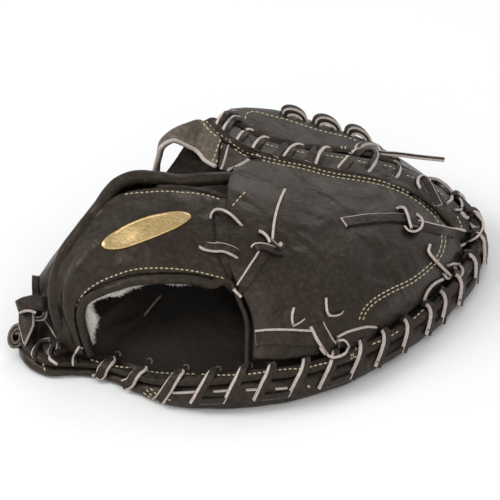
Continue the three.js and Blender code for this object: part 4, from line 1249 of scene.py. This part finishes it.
def makeCurl():
    middle = atHeight(*curl["centre"])
    along = (towardCamera * 0.8 - cameraRight * 0.55).normalized()
    across = along.cross(Vector((0, 0, 1))).normalized()
    up = across.cross(along).normalized()
    steps, rings = curl["steps"], curl["rings"]
    points = []
    for end in range(rings):
        for out in (0, curl["thick"]):
            for k in range(steps + 1):
                wound = k / steps * curl["turns"]
                a = 2 * math.pi * wound + 0.6
                reach = curl["start"] + curl["pitch"] * wound + out
                reach *= 1 + 0.05 * math.sin(a * 2 + end * 0.5)
                spot = middle + across * (math.cos(a) * reach) + up * (math.sin(a) * reach * curl["tall"])
                points.append(spot + along * (curl["long"] * (end / (rings - 1) - 0.75)))
    faces, marks = [], []
    n = steps + 1
    for end in range(rings - 1):
        a, b = end * 2 * n, (end + 1) * 2 * n
        for k in range(steps):
            faces.append((a + k, a + k + 1, b + k + 1, b + k))
            faces.append((a + n + k, b + n + k, b + n + k + 1, a + n + k + 1))
            marks += [0, 0]
        faces += [(a, b, b + n, a + n), (a + steps, a + n + steps, b + n + steps, b + steps)]
        marks += [1, 1]
    last = (rings - 1) * 2 * n
    for k in range(steps):
        faces += [(k, n + k, n + k + 1, k + 1), (last + k, last + k + 1, last + n + k + 1, last + n + k)]
        marks += [1, 1]
    thing = addPiece("heelCurl", points, faces, [softLeather, greyLeather], marks)
    faceOutward(thing, lace["crease"])


makeCurl()

# Thongs that run along under the rim, and one that ends in a hole.
lowRows = [
    [(173, 391.8, 1.0), (186, 391.4, 1.3), (200, 390.4, 1.1)],
    [(213.5, 390.4, 1.1), (223, 389.9, 1.3), (233, 389.2, 1.1)],
    [(246, 389.2, 1.1), (253, 388.8, 1.3), (261, 388.4, 1.1)],
    [(275, 388.2, 1.1), (281, 387.8, 1.2), (287, 387.2, 1.0)],
    [(307.4, 386.2, 0.8), (309.4, 385.6, 0.8)],
]
laceAlong("lowRuns", [(run, 1.7, (1, 1)) for run in lowRows], 12, 1.5, 1.5, None, [rawEdge, rawEdge])

# Laces where they leave the holes inside the rim, and a lace end inside the hand opening.
holeSpots = [(118, 353.6), (149.6, 360.4), (186.6, 366.6), (218.6, 368.4), (250, 364.6)]
holeBow = [(-2.6, -1.4, 0.2), (0.4, -2.6, 0.6), (2.6, -0.6, 0.6), (2.2, 2.6, 0.2)]
holeRows = [([(u + du, v + dv, lift) for du, dv, lift in holeBow], 1.2, (1, 1)) for u, v in holeSpots]
laceAlong("holeLaces", holeRows, 12, 1.0, 1.2, None, [greyLeather, greyLeather])
innerRows = [([(144.2, 315.1, 0.9), (152, 305.4, 0.9), (161, 295.4, 0.9)], 1.5, (1, 1))]
laceAlong("innerLace", innerRows, 16, 1.2, 1.5, None, [greyLeather, greyLeather])

# Rolled edge of the strap along the finger slit.
slitRow = [(124.6, 191.8, -0.4), (130, 189.8, -0.3), (145, 188, -0.3), (158, 187.4, -0.3), (180, 188, -0.3),
           (200, 190.4, -0.3), (214, 193.8, -0.3), (226, 198.2, -0.4)]
makeTube("slitPiping", pixelRun(slitRow, 90)[0], lambda t: 1.7 * min(1.0, 0.5 + 8 * min(t, 1 - t)),
         softLeather, None, 12, 0.05, 3.0)

# Raw edges of the crotch leather, and the strip under the two seams along the ridge.
edgeRows = [
    ([(230, 139.6, 0.7), (227.4, 149, 0.7), (224.4, 160, 0.7), (221, 169.4, 0.6)], 1.5, (1, 1)),
    ([(257.8, 155.2, 0.8), (249, 159.6, 0.8), (239, 165, 0.8), (227.4, 171.4, 0.6)], 2.1, (1, 1)),
]
laceAlong("tabEdges", edgeRows, 24, 1.4, 1.5, None, [rawEdge, rawEdge])
bandEdge = [row[-1] for row in panels["crotchBand"]["grid"]]
makeTube("bandEdge", evenly(bandEdge, 90), lambda t: 1.25, rawEdge, None, 10, 0.12, 1.4)
seamRow = [(207, 119.6, -0.5), (215, 129, -0.4), (226, 137.6, -0.4), (238, 146, -0.4), (258, 155, -0.4),
           (280, 160.4, -0.45), (303, 165, -0.45), (332, 172.6, -0.45), (361, 177.4, -0.45),
           (391, 183.6, -0.5)]
laceAlong("seamStrip", [(seamRow, 6.0, (0, 0))], 110, 1.0, 0.0, None, [softLeather, softLeather])
print("strip laces, hoops and free ends made")


# Stitching: lengths along the rows are in pixels of the photograph, thread sizes in mm.
stitch = {
    "long": 3.5,
    "step": 5.1,
    "rowGap": 3.7,
    "thick": 0.42,  # half the thread
    "around": 6,
    "shape": [(0, -0.3, 0.5), (0.14, 0.12, 0.95), (0.5, 0.3, 1.0), (0.86, 0.12, 0.95), (1, -0.3, 0.5)],
    "longest": 4.5,  # a stitch past this would cross a gap
    "shortest": 0.6,
}
# Run of pixels, and 1 where a second row follows below it.
stitchRows = [
    ([(147, 388.4), (153, 395), (161, 399.6), (170, 402)], 0),
    ([(151, 387.6), (158, 393.6), (166, 397.6), (175, 400)], 0),
    ([(352.4, 347.6), (352, 351), (352.6, 355.6)], 0),
    ([(354.6, 347), (356.4, 350.4), (357.6, 354)], 0),
    ([(358.8, 346.6), (358.6, 350), (359.2, 353.4)], 0),
    ([(349.6, 358.4), (355, 356), (361.4, 353)], 0),
    ([(206, 121), (214, 130), (225, 138), (236, 146), (247, 152.6), (258, 155.6)], 1),
    ([(258, 155.6), (280, 161), (303, 165.4), (332, 173), (361, 177.4), (380, 181), (391, 184.4),
      (404, 189.6), (413, 194.4), (424, 202), (433, 209.6), (439, 216), (443, 224), (445, 233),
      (445.6, 240), (443.6, 250), (440, 257.6), (432, 267), (413, 282), (392, 292), (375, 302),
      (366, 311), (361, 323)], 1),
    ([(223.6, 140.4), (221, 149), (218, 158), (214.4, 166.4)], 1),
    ([(245, 119), (246.6, 113.4), (250, 112), (257, 112), (272, 116), (288, 120), (303, 125),
      (317, 129.6), (332, 133.4), (347, 137), (359, 141.6)], 0),
    ([(346, 141), (345.4, 149)], 1),
    ([(256, 141.6), (267, 145), (279, 148)], 0),
    ([(291, 150.4), (307, 153.4)], 0),
    ([(320.4, 155), (332, 156.4), (344, 158.4)], 0),
    ([(358, 161), (372, 164.4)], 0),
    ([(384, 165.2), (392, 167), (398.6, 171.4)], 0),
    ([(407, 175.4), (416, 178.4)], 0),
    ([(125.4, 195), (134, 193.6), (144, 193), (158, 192), (171, 192), (183, 193), (194, 193.6),
      (205, 195.4), (214, 197.8), (223, 201)], 0),
    ([(77, 306), (80, 299), (88, 290), (100, 282), (114, 276), (131, 270.4), (142, 268.6), (154, 268),
      (176, 268.8), (194, 271), (208, 274), (226, 279)], 0),
    ([(232.6, 206), (240, 197.6), (247.6, 190)], 0),
    ([(91, 359.4), (104, 363), (120, 366.4), (140, 368.6), (154, 371.6), (178, 373), (201, 373.6),
      (222, 374.4), (241, 374), (262, 371.6), (281, 369), (303, 367.6), (320, 363.6), (333, 361)], 0),
    ([(372, 344), (388, 337), (401, 329)], 0),
    ([(405, 325), (414, 318), (424, 309)], 0),
    ([(349.6, 346), (357, 344.6), (358.4, 354), (350.6, 356), (349.4, 351)], 0),
    ([(228, 169.4), (238, 165.4), (247, 161.6), (255.6, 157.6)], 0),
    ([(144, 391.6), (152, 397), (161, 401)], 1),
    ([(44, 362), (46, 371.6)], 0),
    ([(457.6, 216), (460.4, 222), (462.6, 228)], 0),
    ([(437, 189.6), (444, 196)], 0),
]


def offsetRun(row, by):
    # the same run of pixels, moved sideways
    out = []
    for k, (u, v) in enumerate(row):
        a, b = row[max(k - 1, 0)], row[min(k + 1, len(row) - 1)]
        du, dv = b[0] - a[0], b[1] - a[1]
        size = math.hypot(du, dv) or 1.0
        out.append((u - dv / size * by, v + du / size * by))
    return out


def addStitch(parts, a, b, way):
    # one stitch: a short thread that dips into the leather at both ends
    run = (b - a).normalized()
    side = run.cross(way).normalized()
    up = side.cross(run).normalized()
    start, around, last = len(parts.points), stitch["around"], len(stitch["shape"]) - 1
    for t, lift, share in stitch["shape"]:
        centre = a.lerp(b, t) + up * lift
        for k in range(around):
            turned = 2 * math.pi * k / around
            out = side * math.cos(turned) + up * math.sin(turned)
            parts.points.append(centre + out * stitch["thick"] * share)
    for r in range(last):
        for k in range(around):
            k2 = (k + 1) % around
            i = start + r * around
            parts.faces.append((i + k, i + around + k, i + around + k2, i + k2))
    parts.faces.append(tuple(start + k for k in range(around)))
    parts.faces.append(tuple(start + last * around + k for k in reversed(range(around))))
    parts.marks += [0] * (last * around + 2)


def sewRow(parts, row):
    # stitches at even steps along a run of pixels
    fine = through([(u, v, 0.0) for u, v in row], 14 * len(row))
    reach = [0.0]
    for a, b in zip(fine, fine[1:]):
        reach.append(reach[-1] + (b - a).length)
    total = max(1, round(reach[-1] / stitch["step"]))

    def at(goal):
        k = next((i for i in range(len(reach) - 1) if reach[i + 1] >= goal), len(reach) - 2)
        return fine[k].lerp(fine[k + 1], (goal - reach[k]) / max(reach[k + 1] - reach[k], 1e-6))

    for k in range(total):
        a, b = at(k * stitch["step"]), at(min(k * stitch["step"] + stitch["long"], reach[-1]))
        hitA, wayA = spotAt(a.x, a.y)
        hitB, wayB = spotAt(b.x, b.y)
        if hitA is not None and hitB is not None:
            if stitch["shortest"] <= (hitB - hitA).length <= stitch["longest"]:
                addStitch(parts, hitA, hitB, (wayA + wayB).normalized())


stitches = LaceParts()
for row, second in stitchRows:
    sewRow(stitches, row)
    if second:
        sewRow(stitches, offsetRun(row, second * stitch["rowGap"]))
finishLace("stitching", stitches, None, [creamThread])
print("stitched", len(stitches.marks))


# Plain oval plate on the strap. Each ring is a share of the way out and a share of the height.
badge = {
    "start": (-43, -111, 88),
    "end": (-3, -72, 101),
    "side": (0.5, -0.72, -0.48),
    "away": (-0.2, -0.62, 0.76),
    "halfWide": 8.5,
    "high": 1.3,
    "middle": 0.85,
    "rings": [(0.2, 0.85), (0.4, 0.82), (0.6, 0.78), (0.76, 0.72), (0.82, 0.6), (0.87, 0.95), (0.92, 1.05),
              (0.97, 0.9), (1.0, 0.45), (1.0, -0.6)],
    "steps": 96,
    "crease": 50.0,
}


def leatherUnder(point):
    # leather under a point of the plate, and the way it faces
    p = Vector(point)
    out = Vector(badge["away"])
    hit, way = leatherTree.ray_cast(p + out * 40.0, -out)[:2]
    return hit, (way if way.dot(out) > 0 else -way)


def makeBadge():
    # oval plate with a raised rim, laid on the curve of the strap
    steps, rows = badge["steps"], len(badge["rings"])
    start, end, side = Vector(badge["start"]), Vector(badge["end"]), Vector(badge["side"])
    points = []
    for share, high in badge["rings"]:
        for k in range(steps):
            a = 2 * math.pi * k / steps
            spot = (start + end) / 2 + (end - start) * (0.5 * share * math.cos(a))
            spot += side * (badge["halfWide"] * share * math.sin(a))
            hit, way = leatherUnder(spot)
            points.append(hit + way * (high * badge["high"]))
    centre, way = leatherUnder((start + end) / 2)
    points.append(centre + way * (badge["middle"] * badge["high"]))
    faces = [(len(points) - 1, k, (k + 1) % steps) for k in range(steps)]
    faces += [tuple(reversed(f)) for f in ringFaces(rows, steps)]
    faces.append(tuple(reversed([(rows - 1) * steps + k for k in range(steps)])))
    plate = addPiece("plainBadge", points, faces, goldFoil)
    faceOutward(plate, badge["crease"])
    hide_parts("badge")


fleece = {
    "reach": 5.6,  # mm, how far the pile stands out past the edge of the strap
    "patch": 7.5,  # how far it swells out at the thumb side of the mouth
    "strip": 3.4,
    "deep": 2.2,
    "tufts": 6200,
    "long": 3.4,
    "half": 0.45,  # half the width of a tuft
    "seed": 7,
    "fill": 0.4,
}


def pileReach(i):
    # how far the pile stands out beside one row of the strap
    far = fleece["reach"] + fleece["patch"] * math.exp(-((i - 19) / 7) ** 2)
    far += fleece["strip"] * math.exp(-((i - 40) / 11) ** 4)
    far += fleece["strip"] * 0.8 * math.exp(-((i - 72) / 4) ** 2)
    return far - 3.4 * min(1.0, max(0.0, (i - 56) / 8))


def makeFleece():
    # pile lining under the strap: a soft sheet with short tufts along it
    normals = gridNormals(beltGrid, 1)
    n, m = len(beltGrid), len(beltGrid[0])
    sheet = []
    for i in range(4, n - 12):
        first, down = beltGrid[i][0], normals[i][0]
        out = (first - beltGrid[i][1]).normalized() * pileReach(i)
        row = [first + out - down * 4.6, first + out * 0.5 - down * 5.2]
        sheet.append(row + [beltGrid[i][j] - normals[i][j] * (beltThick + 0.9) for j in range(0, m - 12)])
    rows, columns = len(sheet), len(sheet[0])
    points = [p for row in sheet for p in row]
    for i in range(rows):
        for j in range(columns):
            p, way = sheet[i][j], normals[i + 4][max(j - 2, 0)]
            edge = min(i, j, rows - 1 - i, columns - 1 - j)
            lump = 1.0 + 0.5 * noise.fractal(p / 3.5, 1.0, 2.0, 3)
            points.append(p - way * (0.3 + fleece["deep"] * lump * min(1.0, 0.35 + edge / 3)))
    faces = shellFaces(rows, columns)
    size = rows * columns
    rand = random.Random(fleece["seed"])
    for _ in range(fleece["tufts"]):
        i, j = rand.uniform(0, rows - 1.01), rand.uniform(0, 1) ** 2.2 * (columns - 1.01)
        i0, j0 = int(i), int(j)
        base, way = points[size + i0 * columns + j0].copy(), normals[i0 + 4][max(j0 - 2, 0)]
        here = sheet[i0][j0]
        base += (sheet[i0 + 1][j0] - here) * (i - i0) + (sheet[i0][j0 + 1] - here) * (j - j0)
        beside = max(j0 - 1, 0)
        lipWay = (sheet[i0][beside] - sheet[i0][beside + 1]).normalized()
        lean = Vector((rand.uniform(-1, 1), rand.uniform(-1, 1), rand.uniform(-1, 1))) * 0.6
        tip = base + ((-way + lean + lipWay * 0.5).normalized()) * fleece["long"] * rand.uniform(0.5, 1.0)
        across = (tip - base).cross(Vector((0.3, 0.5, 0.8))).normalized() * fleece["half"]
        other = (tip - base).cross(across).normalized() * fleece["half"]
        start = len(points)
        points += [base + across, base - across * 0.5 + other, base - across * 0.5 - other, tip]
        faces += [tuple(start + k for k in f) for f in ((0, 1, 3), (1, 2, 3), (2, 0, 3), (0, 2, 1))]
    lining = addPiece("fleeceLining", points, faces, paleFleece)
    faceOutward(lining)
    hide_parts("fleece_lining")


makeBadge()
makeFleece()
print("plate and fleece made")


# Pale floor, soft lights: place, size and power of each.
studio = {
    "floor": "#f7f7f6",
    "sky": "#f3f4f6",
    "skyPower": 0.72,
    "keyLight": ((-0.8, -0.7, 1.05), 0.8, 10.0),
    "fillLight": ((0.9, -0.9, 0.8), 1.1, 5.0),
    "backLight": ((-0.2, 1.0, 0.9), 0.9, 3.0),
}


def makeFloor():
    mesh = bpy.data.meshes.new("studioFloor")
    mesh.from_pydata([(-3, -3, 0), (3, -3, 0), (3, 3, 0), (-3, 3, 0)], [], [(0, 1, 2, 3)])
    floor = bpy.data.objects.new("studioFloor", mesh)
    bpy.context.scene.collection.objects.link(floor)
    look, shader = newMaterial("paleFloor", 0.8, 0.2)
    place = node(look, "ShaderNodeTexCoord").outputs["Object"]
    drift = node(look, "ShaderNodeTexNoise", {"Vector": place, "Scale": 3.0}).outputs["Fac"]
    look.node_tree.links.new(ramp(look, drift, [(0.3, "#f4f4f3"), (0.7, studio["floor"])]),
                             shader.inputs["Base Color"])
    mesh.materials.append(look)


def makeLight(name, place, size, power):
    data = bpy.data.lights.new(name, "AREA")
    data.shape = "DISK"
    data.size = size
    data.energy = power
    light = bpy.data.objects.new(name, data)
    bpy.context.scene.collection.objects.link(light)
    light.location = place
    light.rotation_euler = Vector(place).to_track_quat("Z", "Y").to_euler()


makeFloor()
for name in ("keyLight", "fillLight", "backLight"):
    makeLight(name, *studio[name])
world = bpy.data.worlds.new("studioWorld")
bpy.context.scene.world = world
world.use_nodes = True
sky = world.node_tree.nodes["Background"]
sky.inputs["Color"].default_value = hexColour(studio["sky"])
sky.inputs["Strength"].default_value = studio["skyPower"]
bpy.context.scene.view_settings.view_transform = "Standard"
